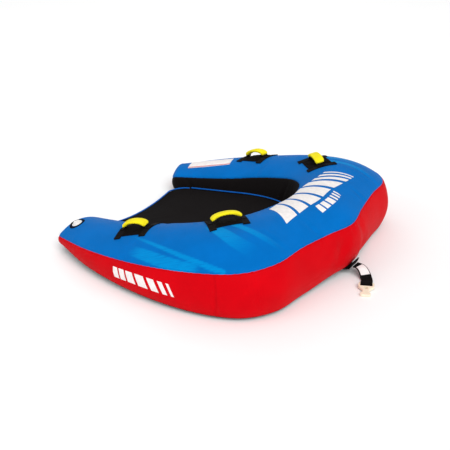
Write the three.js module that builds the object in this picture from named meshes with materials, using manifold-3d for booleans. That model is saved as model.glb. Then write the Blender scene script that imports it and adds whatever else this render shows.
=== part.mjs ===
// Towable tube for one rider: an inflated U-shaped bladder in a sewn cover, with a padded floor
// between its legs, four webbing handles, an inflation valve, a zipper and a tow strap.
// Millimetres. +X points forward to the tow point, +Y to port, +Z up. The underside rests on Z = 0.
import * as THREE from 'three';
import { mergeVertices } from 'three/addons/utils/BufferGeometryUtils.js';
import Module from 'manifold-3d';

const wasm = await Module();
wasm.setup();

// ---------------------------------------------------------------- driving dimensions

// Half of the tube's outline, from the middle of the nose back along the port leg to its tail.
// seam: where the top panel meets the outer wall. rim: where it meets the cockpit wall.
const HALF_OUTLINE = [
  { seam: [550, 0, 225], rim: [250, 0, 280] }, // middle of the nose
  { seam: [520, 155, 230], rim: [230, 105, 275] }, // nose flank
  { seam: [490, 325, 233], rim: [180, 200, 260] }, // front lobe
  { seam: [465, 490, 225], rim: [100, 270, 237] }, // start of the front corner
  { seam: [365, 615, 210], rim: [-5, 310, 207] }, // front corner
  { seam: [160, 670, 187], rim: [-125, 325, 177] }, // widest place
  { seam: [-110, 662, 152], rim: [-250, 320, 148] }, // middle of the leg
  { seam: [-390, 598, 113], rim: [-395, 310, 123] }, // rear of the leg
  { seam: [-630, 495, 72], rim: [-550, 294, 102] }, // tail, where its round end starts
];
const OUTLINE_STEPS = 32; // cross sections from tail to tail
const TAIL_LENGTH = 46; // how far the round end of a leg reaches past its last section
const TAIL_ANGLES = [24, 46, 66, 82]; // degrees round that end, one cross section each
const TAIL_SHARE = 0.0165; // share of the outline that each round end takes, past the legs' last sections
const TAIL_SEAM_HEIGHT = 62; // of the top seam at the very end of a leg
const TAIL_RISE = 22; // how far the underside curves up towards the tail
const TAIL_RISE_START = 0.45; // share of the way from nose to tail
const NOSE_RISE = 22; // how far the underside curves up at the middle of the nose
const NOSE_RISE_END = 0.28; // share of the way from nose to tail
const FOOT_INSET = 3; // the bottom outer seam lies inside the top one
const FOOT_HEIGHT = 12; // the bottom seams lie above the flat of the underside
const FOOT_FLAT_START = 0.18; // share of the underside's width that rounds up to each seam

// The four sewn panels round a cross section, in order. bulge is a share of the panel's width.
const PANELS = {
  top: { from: 'rim', to: 'seam', bulge: 0.18, shares: [0, 0.18, 0.38, 0.62, 0.82, 1] },
  outer: { from: 'seam', to: 'outerFoot', bulge: 0.14, shares: [0, 0.25, 0.5, 0.75, 1] },
  bottom: {
    from: 'outerFoot', to: 'innerFoot', bulge: 0, shares: [0, FOOT_FLAT_START, 1 - FOOT_FLAT_START, 1],
  },
  inner: { from: 'innerFoot', to: 'rim', bulge: 0.12, shares: [0, 0.25, 0.5, 0.75, 1] },
};
const COVER_THICKNESS = 1.6;
const BLADDER_DEPTH = 4; // the bladder's skin lies this far under the cover's outside
const SEAM_GAP = 0.6; // between neighbouring panels

const FLOOR = {
  rearX: -545, frontX: 212, rearZ: 52, frontZ: 126, sag: 22, cornerRadius: 70, wallGap: 3,
  coverThickness: 2, padThickness: 12, padInset: 14, slingThickness: 1.4, layerGap: 1.4, columns: 6,
};
const PIPING_RADIUS = 3;

const HANDLE = {
  riseAxis: 12, archHeight: 20, sleeveWidth: 42, sleeveThickness: 13, sleeveEndWidth: 35, sleeveRounding: 4,
  tunnelRounding: 0.6, webbingWidth: 34, webbingThickness: 2.4, tunnelGap: 0.5, sleeveStart: 6, steps: 9,
  padEndGap: 14, padWidth: 112, padThickness: 4.5, strapLength: 28, strapWidth: 138, strapThickness: 2.4,
  lift: 1.6,
};
// place: share of the way from nose to tail; share: across the top panel from rim to seam; turn: degrees
// that the front of the handle points inwards of the way the leg runs.
const HANDLE_PLACES = {
  rear: { place: 0.765, share: 0.5, turn: 14, span: 104 },
  front: { place: 0.442, share: 0.34, turn: 12, span: 118 },
};

// place runs from 0 at the nose to 1 at the end of a leg
const VALVE = {
  place: 0.985, share: 0.63, ringRadius: 36, ringHole: 25, ringThickness: 3, flangeRadius: 23,
  flangeThickness: 2, neckRadius: 15, neckDepth: 16, boreRadius: 11.5,
  insertRadius: 10.8, insertFlangeRadius: 17, insertHeight: 3, mouthRadius: 8,
  plugRadius: 7, plugDepth: 4, capRadius: 15, capHeight: 3.5,
  hingeOffset: 18, tongueWidth: 9, tongueThickness: 1.6, sides: 20,
};
const LABEL = { place: 0.897, share: 0.37, length: 225, width: 68, thickness: 0.8, lift: 1.6 };

const ZIPPER = {
  place: 0.775, share: 0.76, length: 280, tapeWidth: 13, tapeThickness: 1, chainWidth: 6, chainThickness: 2.6,
  wallGap: 2.2, sliderLength: 17, sliderWidth: 12, sliderThickness: 7.2, stopLength: 5,
  lugHeight: 4, pullLength: 34, pullWidth: 8, pullThickness: 2, gap: 0.4,
};

const TOW = {
  anchorWidth: 68, anchorThickness: 3.6, anchorX: 440, webbingWidth: 48, webbingThickness: 2.6,
  // middle line of the anchor's front part, under and round the nose's lower edge, as [x, z]
  noseLip: [[492, 17.4], [550, 28], [560, 36], [566, 48], [569, 58]],
  rootX: 570, rootZ: 38, turnLength: 105, turnAngle: 68, straight: 34, barHeight: 11.4, loopRadius: 9.3,
  layerHeight: 5.2, tailLength: 42, labelStart: 20, labelLength: 44, labelWidth: 40, labelThickness: 0.6,
};
const CONNECTOR = {
  thickness: 11, barHalf: 4.5, armHalfWidth: 33, slotHalfWidth: 26, slotEnd: 22, shoulderX: 30, holeX: 38,
  holeRadius: 8, waistX: 60, waistHalfWidth: 12, hornX: 78, hornHalfWidth: 21, endX: 90, tilt: 3.4,
};

// ---------------------------------------------------------------- materials

const finish = (color, roughness, metalness = 0) => (
  new THREE.MeshStandardMaterial({ color, roughness, metalness })
);
const blueFabric = finish(0x0071cc, 0.55);
const redFabric = finish(0xe0131f, 0.6);
const blackFabric = finish(0x1d191a, 0.85);
const floorFabric = finish(0x231f20, 0.9);
const yellowFabric = finish(0xf9e628, 0.6);
const foam = finish(0x2b2b2d, 0.95);
const bladderVinyl = finish(0x3a3d42, 0.4);
const labelVinyl = finish(0xeee6e6, 0.5);
const whitePlastic = finish(0xefe9e4, 0.4);
const creamPlastic = finish(0xf4e2c8, 0.45);
const zipperMetal = finish(0x8d9196, 0.35, 0.8);

// ---------------------------------------------------------------- solids from points

const vector = (x, y, z) => new THREE.Vector3(x, y, z);
const radians = THREE.MathUtils.degToRad;

/** Closed body from points and triangles; its faces are turned so that they point out. */
function solid(points, triangles) {
  let volume = 0;
  for (let i = 0; i < triangles.length; i += 3) {
    const [a, b, c] = [0, 1, 2].map((corner) => points[triangles[i + corner]]);
    volume += a.dot(b.clone().cross(c));
  }
  const facing = volume > 0 ? triangles : triangles.slice().reverse();
  const geometry = new THREE.BufferGeometry().setFromPoints(points);
  geometry.setIndex(facing);
  geometry.computeVertexNormals();
  return geometry;
}

/** Body between two grids of points of the same size, with walls round all four edges. */
function slab(upper, lower) {
  const rows = upper.length;
  const columns = upper[0].length;
  const points = [...upper.flat(), ...lower.flat()];
  const at = (skin, row, column) => (skin * rows + row) * columns + column;
  const triangles = [];
  const quad = (a, b, c, d) => triangles.push(a, b, c, a, c, d);
  const lastRow = rows - 1;
  const lastColumn = columns - 1;
  for (let row = 0; row < lastRow; row++) {
    for (let column = 0; column < lastColumn; column++) {
      quad(at(0, row, column), at(0, row, column + 1), at(0, row + 1, column + 1), at(0, row + 1, column));
      quad(at(1, row, column), at(1, row + 1, column), at(1, row + 1, column + 1), at(1, row, column + 1));
    }
    quad(at(0, row, 0), at(0, row + 1, 0), at(1, row + 1, 0), at(1, row, 0));
    quad(
      at(0, row + 1, lastColumn), at(0, row, lastColumn),
      at(1, row, lastColumn), at(1, row + 1, lastColumn),
    );
  }
  for (let column = 0; column < lastColumn; column++) {
    quad(at(0, 0, column + 1), at(0, 0, column), at(1, 0, column), at(1, 0, column + 1));
    quad(
      at(0, lastRow, column), at(0, lastRow, column + 1),
      at(1, lastRow, column + 1), at(1, lastRow, column),
    );
  }
  return solid(points, triangles);
}

/** Body through a row of closed rings of points, with a fan over each end. */
function loft(rings) {
  const count = rings[0].length;
  const points = rings.flat();
  const triangles = [];
  for (let ring = 0; ring < rings.length - 1; ring++) {
    for (let i = 0; i < count; i++) {
      const next = (i + 1) % count;
      const [a, b] = [ring * count + i, ring * count + next];
      triangles.push(a, b, b + count, a, b + count, a + count);
    }
  }
  for (const ring of [0, rings.length - 1]) {
    const centre = rings[ring].reduce((sum, point) => sum.add(point), vector(0, 0, 0)).divideScalar(count);
    const middle = points.push(centre) - 1;
    for (let i = 0; i < count; i++) {
      const [a, b] = [ring * count + i, ring * count + ((i + 1) % count)];
      triangles.push(...(ring === 0 ? [b, a, middle] : [a, b, middle]));
    }
  }
  return solid(points, triangles);
}

/** Tube with an open tunnel: outer and inner rings have the same number of points. */
function tunnel(outer, inner) {
  const count = outer[0].length;
  const points = [...outer.flat(), ...inner.flat()];
  const at = (skin, ring, i) => (skin * outer.length + ring) * count + (i % count);
  const triangles = [];
  const quad = (a, b, c, d) => triangles.push(a, b, c, a, c, d);
  const last = outer.length - 1;
  for (let i = 0; i < count; i++) {
    for (let ring = 0; ring < last; ring++) {
      quad(at(0, ring, i), at(0, ring, i + 1), at(0, ring + 1, i + 1), at(0, ring + 1, i));
      quad(at(1, ring, i), at(1, ring + 1, i), at(1, ring + 1, i + 1), at(1, ring, i + 1));
    }
    quad(at(0, 0, i + 1), at(0, 0, i), at(1, 0, i), at(1, 0, i + 1));
    quad(at(0, last, i), at(0, last, i + 1), at(1, last, i + 1), at(1, last, i));
  }
  return solid(points, triangles);
}

/** Round cord of the given radius along a row of points. */
function cord(points, radius, sides = 6) {
  const rings = points.map((point, i) => {
    const ahead = points[Math.min(i + 1, points.length - 1)];
    const behind = points[Math.max(i - 1, 0)];
    const along = ahead.clone().sub(behind).normalize();
    const side = vector(0, 0, 1).cross(along).normalize();
    const up = along.clone().cross(side);
    return Array.from({ length: sides }, (_, k) => {
      const angle = (2 * Math.PI * (k + 0.5)) / sides;
      const offset = side.clone().multiplyScalar(Math.cos(angle)).addScaledVector(up, Math.sin(angle));
      return point.clone().addScaledVector(offset, radius);
    });
  });
  return loft(rings);
}

/** Solid of revolution about Z from a closed profile of [radius, height] pairs. */
function turned(profile, sides = VALVE.sides) {
  return new THREE.LatheGeometry(profile.map(([r, z]) => new THREE.Vector2(r, z)), sides).rotateX(Math.PI / 2);
}

/** The same shape as a solid that can be joined and cut. */
function toManifold(geometry) {
  const bare = geometry.clone();
  bare.deleteAttribute('normal');
  bare.deleteAttribute('uv');
  const merged = mergeVertices(bare, 1e-4);
  return new wasm.Manifold(new wasm.Mesh({
    numProp: 3,
    vertProperties: new Float32Array(merged.attributes.position.array),
    triVerts: new Uint32Array(merged.index.array),
  }));
}

function fromManifold(manifold) {
  const mesh = manifold.getMesh();
  const geometry = new THREE.BufferGeometry();
  geometry.setAttribute('position', new THREE.BufferAttribute(new Float32Array(mesh.vertProperties), 3));
  geometry.setIndex(Array.from(mesh.triVerts));
  geometry.computeVertexNormals();
  return geometry;
}

const cut = (geometry, tool) => fromManifold(toManifold(geometry).subtract(toManifold(tool)));
const join = (first, second) => fromManifold(toManifold(first).add(toManifold(second)));

// ---------------------------------------------------------------- the tube's surface

/** Spline through the whole outline, from the starboard tail (0) over the nose (0.5) to the port tail (1). */
function outlineCurve(edge) {
  const port = HALF_OUTLINE.map((station) => vector(...station[edge]));
  const starboard = port.slice(1).map((point) => vector(point.x, -point.y, point.z)).reverse();
  return new THREE.CatmullRomCurve3([...starboard, ...port], false, 'catmullrom', 0.5);
}
const seamCurve = outlineCurve('seam');
const rimCurve = outlineCurve('rim');

/** How far the underside is off the ground. */
function underside(u) {
  const place = Math.abs(2 * u - 1);
  const tail = Math.max(0, (place - TAIL_RISE_START) / (1 - TAIL_RISE_START));
  const nose = (1 + Math.cos(Math.PI * Math.min(1, place / NOSE_RISE_END))) / 2;
  return TAIL_RISE * tail ** 2 + NOSE_RISE * nose;
}

/** The four seam corners of the cross section at place. Below 0 and above 1 it goes round a leg's end. */
function corners(place) {
  const u = THREE.MathUtils.clamp(place, 0, 1);
  const angle = (Math.PI / 2) * Math.min(1, Math.abs(place - u) / TAIL_SHARE);
  const seam = seamCurve.getPoint(u);
  const rim = rimCurve.getPoint(u);
  const narrow = Math.cos(angle);
  const far = Math.sin(angle);
  const rearward = vector(0, 0, 0);
  if (angle > 0) {
    const inboard = u < 0.5 ? u + 0.02 : u - 0.02;
    const middle = seam.clone().add(rim).multiplyScalar(0.5);
    rearward.copy(middle).sub(seamCurve.getPoint(inboard).add(rimCurve.getPoint(inboard)).multiplyScalar(0.5));
    rearward.setZ(0).normalize();
    for (const corner of [seam, rim]) {
      const height = THREE.MathUtils.lerp(corner.z, TAIL_SEAM_HEIGHT, far ** 2);
      corner.lerp(middle, 1 - narrow).addScaledVector(rearward, TAIL_LENGTH * far).setZ(height);
    }
  }
  const outward = seam.clone().sub(rim).setZ(0).normalize();
  const footHeight = underside(u) + FOOT_HEIGHT;
  const outerFoot = seam.clone().addScaledVector(outward, -FOOT_INSET * narrow).setZ(footHeight);
  const innerFoot = rim.clone().setZ(footHeight);
  return { seam, rim, outerFoot, innerFoot, outward, rearward, far };
}

/** Point on a panel of a cross section; share runs from the panel's first corner to its second. */
function panelPoint(section, name, share) {
  const panel = PANELS[name];
  const start = section[panel.from];
  const chord = section[panel.to].clone().sub(start);
  const point = start.clone().addScaledVector(chord, share);
  if (name === 'bottom') {
    const rounding = Math.max(0, 1 - Math.min(share, 1 - share) / FOOT_FLAT_START);
    return point.setZ(point.z - FOOT_HEIGHT * (1 - rounding));
  }
  const bulge = panel.bulge * 4 * share * (1 - share);
  point.addScaledVector(section.outward, -chord.z * bulge);
  return point.setZ(point.z + chord.dot(section.outward) * bulge);
}

/** Point and outward normal of the inflated surface at u along the tube and share across a panel. */
function skin(u, share, name = 'top') {
  const point = panelPoint(corners(u), name, share);
  const alongU = panelPoint(corners(u + 1e-4), name, share).sub(panelPoint(corners(u - 1e-4), name, share));
  const alongShare = panelPoint(corners(u), name, share + 1e-3).sub(panelPoint(corners(u), name, share - 1e-3));
  alongU.divideScalar(2e-4);
  alongShare.divideScalar(2e-3);
  const normal = alongShare.clone().cross(alongU).normalize();
  return { point, normal, alongU, alongShare };
}

/** Right-handed frame on the skin: X runs forward along the tube turned by turn degrees, Z is the normal. */
function skinFrame(u, share, turn, name = 'top') {
  const { point, normal, alongU } = skin(u, share, name);
  const forward = u > 0.5 ? -1 : 1;
  const x = alongU.clone().multiplyScalar(forward).projectOnPlane(normal).normalize();
  x.applyAxisAngle(normal, radians(u > 0.5 ? -turn : turn));
  const y = normal.clone().cross(x);
  return { u, share, name, point, x, y, z: normal };
}

/** Point on the skin that lies along and across from a frame's origin, then lifted off the skin. */
function skinPoint(frame, along, across, lift) {
  let { u, share } = frame;
  const target = frame.point.clone().addScaledVector(frame.x, along).addScaledVector(frame.y, across);
  for (let pass = 0; pass < 5; pass++) {
    const here = skin(u, share, frame.name);
    const miss = target.clone().sub(here.point).projectOnPlane(frame.z);
    const p = here.alongU.clone().projectOnPlane(frame.z);
    const q = here.alongShare.clone().projectOnPlane(frame.z);
    const determinant = p.dot(p) * q.dot(q) - p.dot(q) ** 2;
    u += (q.dot(q) * p.dot(miss) - p.dot(q) * q.dot(miss)) / determinant;
    share += (p.dot(p) * q.dot(miss) - p.dot(q) * p.dot(miss)) / determinant;
  }
  const here = skin(u, share, frame.name);
  return here.point.addScaledVector(here.normal, lift);
}

/** Rectangular patch that follows the skin, centred on a frame's origin plus offset along it. */
function skinPatch(frame, { offset = 0, length, width, lift, thickness, rows = 5, columns = 6 }) {
  const grid = (height) => Array.from({ length: rows }, (_, row) => (
    Array.from({ length: columns }, (_, column) => skinPoint(
      frame,
      offset + length * (row / (rows - 1) - 0.5),
      width * (column / (columns - 1) - 0.5),
      height,
    ))
  ));
  return slab(grid(lift + thickness), grid(lift));
}

// ---------------------------------------------------------------- cover and bladder

const tailPlaces = TAIL_ANGLES.map((angle) => (angle / 90) * TAIL_SHARE);
const sections = [
  ...tailPlaces.map((past) => -past).reverse(),
  ...Array.from({ length: OUTLINE_STEPS + 1 }, (_, step) => step / OUTLINE_STEPS),
  ...tailPlaces.map((past) => 1 + past),
].map(corners);

/** Closed ring of points round a cross section, with the index where each panel starts. */
function outline(section) {
  const points = [];
  const starts = {};
  for (const [name, panel] of Object.entries(PANELS)) {
    starts[name] = points.length;
    points.push(...panel.shares.slice(0, -1).map((share) => panelPoint(section, name, share)));
  }
  return { points, starts };
}

/** The same ring moved inwards by depth, square to its own edges and away from the tail's end. */
function shrunk(section, points, depth) {
  const normalAfter = (i) => {
    const edge = points[(i + 1) % points.length].clone().sub(points[i]);
    return section.outward.clone().multiplyScalar(-edge.z).setZ(edge.dot(section.outward)).normalize();
  };
  return points.map((point, i) => {
    const before = normalAfter((i + points.length - 1) % points.length);
    const after = normalAfter(i);
    const mitre = before.clone().add(after).divideScalar(1 + before.dot(after));
    return point.clone().addScaledVector(mitre, -depth).addScaledVector(section.rearward, -depth * section.far);
  });
}

/** A panel's row of points in one cross section, its ends drawn in by half the seam gap. */
function panelRow(ring, starts, name) {
  const count = PANELS[name].shares.length;
  const row = Array.from({ length: count }, (_, i) => ring[(starts[name] + i) % ring.length].clone());
  const drawIn = (end, neighbour) => end.lerp(neighbour, SEAM_GAP / 2 / end.distanceTo(neighbour));
  const [first, second] = row;
  const [lastButOne, last] = row.slice(-2);
  drawIn(first, second);
  drawIn(last, lastButOne);
  return row;
}

/** One sewn cover panel from tail to tail. */
function coverPanel(name) {
  const outside = [];
  const inside = [];
  for (const section of sections) {
    const { points, starts } = outline(section);
    outside.push(panelRow(points, starts, name));
    inside.push(panelRow(shrunk(section, points, COVER_THICKNESS), starts, name));
  }
  if (name === 'outer') {
    wrapTails(outside, inside);
  }
  return slab(outside, inside);
}

/** The outer wall turns round each tail's end and stops short of the cockpit wall. */
function wrapTails(outside, inside) {
  for (const [end, add] of [[0, 'unshift'], [sections.length - 1, 'push']]) {
    const section = sections[end];
    const { points, starts } = outline(section);
    const moveOut = (point) => point.addScaledVector(section.outward, 2 * SEAM_GAP);
    const rows = [points, shrunk(section, points, COVER_THICKNESS)].map((ring) => (
      panelRow(ring, starts, 'inner').reverse().map(moveOut)
    ));
    outside[add](rows[0]);
    inside[add](rows[1]);
  }
}

function bladder() {
  return loft(sections.map((section) => shrunk(section, outline(section).points, BLADDER_DEPTH)));
}

// ---------------------------------------------------------------- floor

const floorHeight = (x) => THREE.MathUtils.mapLinear(x, FLOOR.rearX, FLOOR.frontX, FLOOR.rearZ, FLOOR.frontZ);

/** Where the floor meets the cockpit wall of the cross section at u. */
function wallBase(u) {
  const section = corners(u);
  let [low, high] = [0, 1];
  for (let pass = 0; pass < 20; pass++) {
    const share = (low + high) / 2;
    const point = panelPoint(section, 'inner', share);
    if (point.z < floorHeight(point.x)) low = share;
    else high = share;
  }
  return panelPoint(section, 'inner', low);
}

const wallLine = Array.from({ length: 33 }, (_, i) => wallBase(0.5 + 0.5 * (i / 32)));

/** Half of the cockpit's width at the floor. */
function cockpitHalfWidth(x) {
  const rear = wallLine.findIndex((point) => point.x < x);
  if (rear < 1) return rear === 0 ? 0 : wallLine.at(-1).y;
  const [a, b] = [wallLine[rear - 1], wallLine[rear]];
  return THREE.MathUtils.mapLinear(x, a.x, b.x, a.y, b.y);
}

/** The floor's half width, with round corners at its rear edge. */
function floorHalfWidth(x) {
  const fromRear = x - FLOOR.rearX;
  const radius = FLOOR.cornerRadius;
  const corner = fromRear < radius ? radius - Math.sqrt(radius ** 2 - (radius - fromRear) ** 2) : 0;
  return cockpitHalfWidth(x) - FLOOR.wallGap - corner;
}

const rearRows = [0, 0.05, 0.2, 0.5, 1].map((share) => FLOOR.rearX + FLOOR.cornerRadius * share);
const frontRows = [-400, -310, -220, -130, -40, 40, 100, 145, 175, 198, FLOOR.frontX];

/** The floor's sagging surface. */
const floorSurface = [...rearRows, ...frontRows].map((x) => (
  Array.from({ length: FLOOR.columns + 1 }, (_, column) => {
    const across = (2 * column) / FLOOR.columns - 1;
    return vector(x, floorHalfWidth(x) * across, floorHeight(x) - FLOOR.sag * (1 - across ** 2));
  })
));

/** One layer of the floor between two depths under its surface, with its four edges drawn in by inset. */
function floorLayer(topDepth, bottomDepth, inset) {
  const grid = floorSurface.map((row) => row.map((point) => point.clone()));
  const drawIn = (end, neighbour) => end.lerp(neighbour, inset / end.distanceTo(neighbour));
  for (const row of grid) {
    drawIn(row[0], row[1]);
    drawIn(row.at(-1), row.at(-2));
  }
  grid[0].forEach((point, column) => drawIn(point, grid[2][column]));
  grid.at(-1).forEach((point, column) => drawIn(point, grid.at(-2)[column]));
  const lowered = (depth) => grid.map((row) => row.map((point) => point.clone().setZ(point.z - depth)));
  return slab(lowered(topDepth), lowered(bottomDepth));
}

/** Piping along the foot of the cockpit wall, on top of the floor's edge. */
function wallPiping() {
  const inward = PIPING_RADIUS + FLOOR.wallGap;
  const path = Array.from({ length: 33 }, (_, i) => {
    const u = 0.035 + 0.93 * (i / 32);
    const { outward } = corners(u);
    const base = wallBase(u);
    return base.addScaledVector(outward, -inward).setZ(floorHeight(base.x) + PIPING_RADIUS + 1);
  });
  return cord(path, PIPING_RADIUS);
}

/** Piping round the floor's rear edge, from one corner to the other. */
function rearPiping() {
  const reach = PIPING_RADIUS + FLOOR.layerGap;
  const corner = rearRows.slice(0, 4).reverse().map((x) => {
    const slope = 1 - (x - FLOOR.rearX) / FLOOR.cornerRadius;
    return vector(x - reach * slope, floorHalfWidth(x) + reach * Math.sqrt(1 - slope ** 2), floorHeight(x));
  });
  const edge = floorSurface[0].slice(1, -1).reverse().map((point) => vector(point.x - reach, point.y, point.z));
  const mirrored = corner.map((point) => vector(point.x, -point.y, point.z)).reverse();
  const path = [...corner, ...edge, ...mirrored];
  path.forEach((point) => point.setZ(point.z - FLOOR.coverThickness / 2));
  return cord(path, PIPING_RADIUS);
}

// ---------------------------------------------------------------- handles

/** Point of the arch's middle line and the direction that points away from the pad there. */
function archPoint(angle, span) {
  const [c, s] = [Math.cos(angle), Math.sin(angle)];
  const half = span / 2;
  const point = vector(-half * c, 0, HANDLE.riseAxis + HANDLE.archHeight * s);
  const out = vector(-c * HANDLE.archHeight, 0, s * half).normalize();
  return { point, out };
}

/** Rounded rectangle of points in a plane square to the arch. */
function archRing({ point, out }, width, thickness, rounding) {
  const halfWidth = width / 2;
  const halfThickness = thickness / 2;
  const places = [
    [halfWidth - rounding, halfThickness], [halfWidth, halfThickness - rounding],
    [halfWidth, rounding - halfThickness], [halfWidth - rounding, -halfThickness],
    [rounding - halfWidth, -halfThickness], [-halfWidth, rounding - halfThickness],
    [-halfWidth, halfThickness - rounding], [rounding - halfWidth, halfThickness],
  ];
  return places.map(([across, height]) => point.clone().addScaledVector(out, height).setY(across));
}

/** Angles round the arch where the sleeve has its cross sections. */
const sleeveAngles = Array.from({ length: HANDLE.steps + 1 }, (_, i) => (
  radians(HANDLE.sleeveStart + (180 - 2 * HANDLE.sleeveStart) * (i / HANDLE.steps))
));

/** Padded sleeve on the webbing, narrower at its two ends. */
function gripSleeve(span) {
  const outer = sleeveAngles.map((angle, i) => {
    const atEnd = i === 0 || i === HANDLE.steps;
    const width = atEnd ? HANDLE.sleeveEndWidth : HANDLE.sleeveWidth;
    return archRing(archPoint(angle, span), width, HANDLE.sleeveThickness, HANDLE.sleeveRounding);
  });
  const gap = 2 * HANDLE.tunnelGap;
  const inner = sleeveAngles.map((angle) => (
    archRing(
      archPoint(angle, span),
      HANDLE.webbingWidth + gap,
      HANDLE.webbingThickness + gap,
      HANDLE.tunnelRounding,
    )
  ));
  return tunnel(outer, inner);
}

/** Arched webbing through the sleeve. */
function archWebbing(span) {
  const { webbingWidth, webbingThickness } = HANDLE;
  const angles = [radians(1.5), ...sleeveAngles, radians(178.5)];
  const grid = (lift) => angles.map((angle) => {
    const { point, out } = archPoint(angle, span);
    return [-0.5, 0.5].map((across) => point.clone().addScaledVector(out, lift).setY(across * webbingWidth));
  });
  return slab(grid(webbingThickness / 2), grid(-webbingThickness / 2));
}

/** Gusset of folded webbing that stands under one end of the arch. */
function archRoot(x) {
  const half = HANDLE.webbingWidth / 2;
  const shape = new THREE.Shape([
    new THREE.Vector2(-half, 0), new THREE.Vector2(half, 0),
    new THREE.Vector2(4, HANDLE.riseAxis - 2.5), new THREE.Vector2(-4, HANDLE.riseAxis - 2.5),
  ]);
  const geometry = new THREE.ExtrudeGeometry(shape, { depth: HANDLE.webbingThickness, bevelEnabled: false });
  geometry.rotateX(Math.PI / 2).rotateZ(Math.PI / 2);
  return geometry.translate(x - HANDLE.webbingThickness / 2, 0, 0);
}

/** One handle: a pad and two cross straps sewn to the cover, and the arch that rocks over them. */
function handle(name, side, { place, share, turn, span }) {
  const frame = skinFrame(0.5 + side * place / 2, share, turn);
  const ends = [-1, 1].map((end) => skinPoint(frame, (end * span) / 2, 0, HANDLE.lift));
  const x = ends[1].clone().sub(ends[0]).normalize();
  const y = frame.z.clone().cross(x).normalize();
  const z = x.clone().cross(y);
  const group = new THREE.Group();
  group.name = `${name}_frame`;
  group.position.copy(ends[0]).add(ends[1]).multiplyScalar(0.5);
  group.quaternion.setFromRotationMatrix(new THREE.Matrix4().makeBasis(x, y, z));
  group.updateMatrix();
  const toGroup = group.matrix.clone().invert();

  const pad = skinPatch(frame, {
    length: span - 2 * HANDLE.padEndGap, width: HANDLE.padWidth,
    lift: HANDLE.lift, thickness: HANDLE.padThickness,
  });
  group.add(mesh(`${name}_pad`, pad.applyMatrix4(toGroup), foam));
  for (const [end, label] of [[1, 'front'], [-1, 'rear']]) {
    const strap = skinPatch(frame, {
      offset: end * (span / 2 - 5 + HANDLE.strapLength / 2), length: HANDLE.strapLength,
      width: HANDLE.strapWidth, lift: HANDLE.lift, thickness: HANDLE.strapThickness, rows: 3,
    });
    const standing = join(strap.applyMatrix4(toGroup), archRoot((end * span) / 2));
    group.add(mesh(`${name}_strap_${label}`, standing, blackFabric));
  }
  group.add(mesh(`${name}_webbing`, archWebbing(span), blackFabric));
  group.add(mesh(`${name}_grip`, gripSleeve(span), yellowFabric));
  return group;
}

// ---------------------------------------------------------------- valve

const valveFrame = skinFrame(0.5 - VALVE.place / 2, VALVE.share, 0);

function valveGroup() {
  const group = new THREE.Group();
  group.name = 'valve_frame';
  group.position.copy(valveFrame.point);
  const turn = new THREE.Matrix4().makeBasis(valveFrame.x, valveFrame.y, valveFrame.z);
  group.quaternion.setFromRotationMatrix(turn);
  return group;
}

/** The four pieces of the valve, from the reinforcing ring to the cap. */
function valvePieces(group) {
  const { ringRadius, ringHole, ringThickness, flangeRadius, flangeThickness } = VALVE;
  const { neckRadius, neckDepth, boreRadius, insertRadius, insertFlangeRadius, insertHeight } = VALVE;
  const { mouthRadius, plugRadius, plugDepth, capRadius, capHeight } = VALVE;
  const { hingeOffset, tongueWidth, tongueThickness } = VALVE;
  const seat = ringThickness - 1;
  group.add(mesh('valve_ring', turned([
    [ringHole, 0.8], [ringRadius, 0.8], [ringRadius, ringThickness - 1], [ringRadius - 2, ringThickness],
    [ringHole, ringThickness], [ringHole, 0.8],
  ]), blackFabric));
  group.add(mesh('valve_base', turned([
    [boreRadius, -neckDepth], [neckRadius, -neckDepth], [neckRadius, seat - flangeThickness],
    [flangeRadius, seat - flangeThickness], [flangeRadius, seat], [boreRadius, seat], [boreRadius, -neckDepth],
  ]), whitePlastic));
  const insertTop = seat + 0.4 + insertHeight;
  group.add(mesh('valve_insert', turned([
    [mouthRadius, 0.4 - neckDepth], [insertRadius, 0.4 - neckDepth], [insertRadius, seat + 0.4],
    [insertFlangeRadius, seat + 0.4], [insertFlangeRadius, insertTop], [mouthRadius, insertTop],
    [mouthRadius, 0.4 - neckDepth],
  ]), whitePlastic));
  const capBottom = insertTop + 0.4;
  const lid = turned([
    [0, capBottom - plugDepth], [plugRadius - 1, capBottom - plugDepth],
    [plugRadius, capBottom - plugDepth + 1],
    [plugRadius, capBottom], [capRadius, capBottom], [capRadius, capBottom + capHeight - 1],
    [capRadius - 1, capBottom + capHeight], [0, capBottom + capHeight],
  ]);
  const tongueStart = capRadius - 3;
  const tongueEnd = hingeOffset + tongueThickness / 2;
  const tongue = new THREE.BoxGeometry(tongueEnd - tongueStart, tongueWidth, tongueThickness);
  tongue.translate(-(tongueStart + tongueEnd) / 2, 0, capBottom + 1);
  group.add(mesh('valve_cap', join(lid, tongue), whitePlastic));
}

// ---------------------------------------------------------------- zipper

/** The zipper runs straight along the starboard leg's cockpit wall. */
function zipperGroup() {
  const frame = skinFrame(0.5 - ZIPPER.place / 2, ZIPPER.share, 0, 'inner');
  const ends = [-1, 1].map((end) => skinPoint(frame, end * ZIPPER.length / 2, 0, ZIPPER.wallGap));
  const x = ends[1].clone().sub(ends[0]).normalize();
  const y = frame.z.clone().cross(x).normalize();
  const group = new THREE.Group();
  group.name = 'zipper_frame';
  group.position.copy(ends[0]).add(ends[1]).multiplyScalar(0.5);
  group.quaternion.setFromRotationMatrix(new THREE.Matrix4().makeBasis(x, y, x.clone().cross(y)));
  return group;
}

/** Box whose bottom face is at height z. */
const block = (length, width, height, x, y, z) => (
  new THREE.BoxGeometry(length, width, height).translate(x, y, z + height / 2)
);

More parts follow.
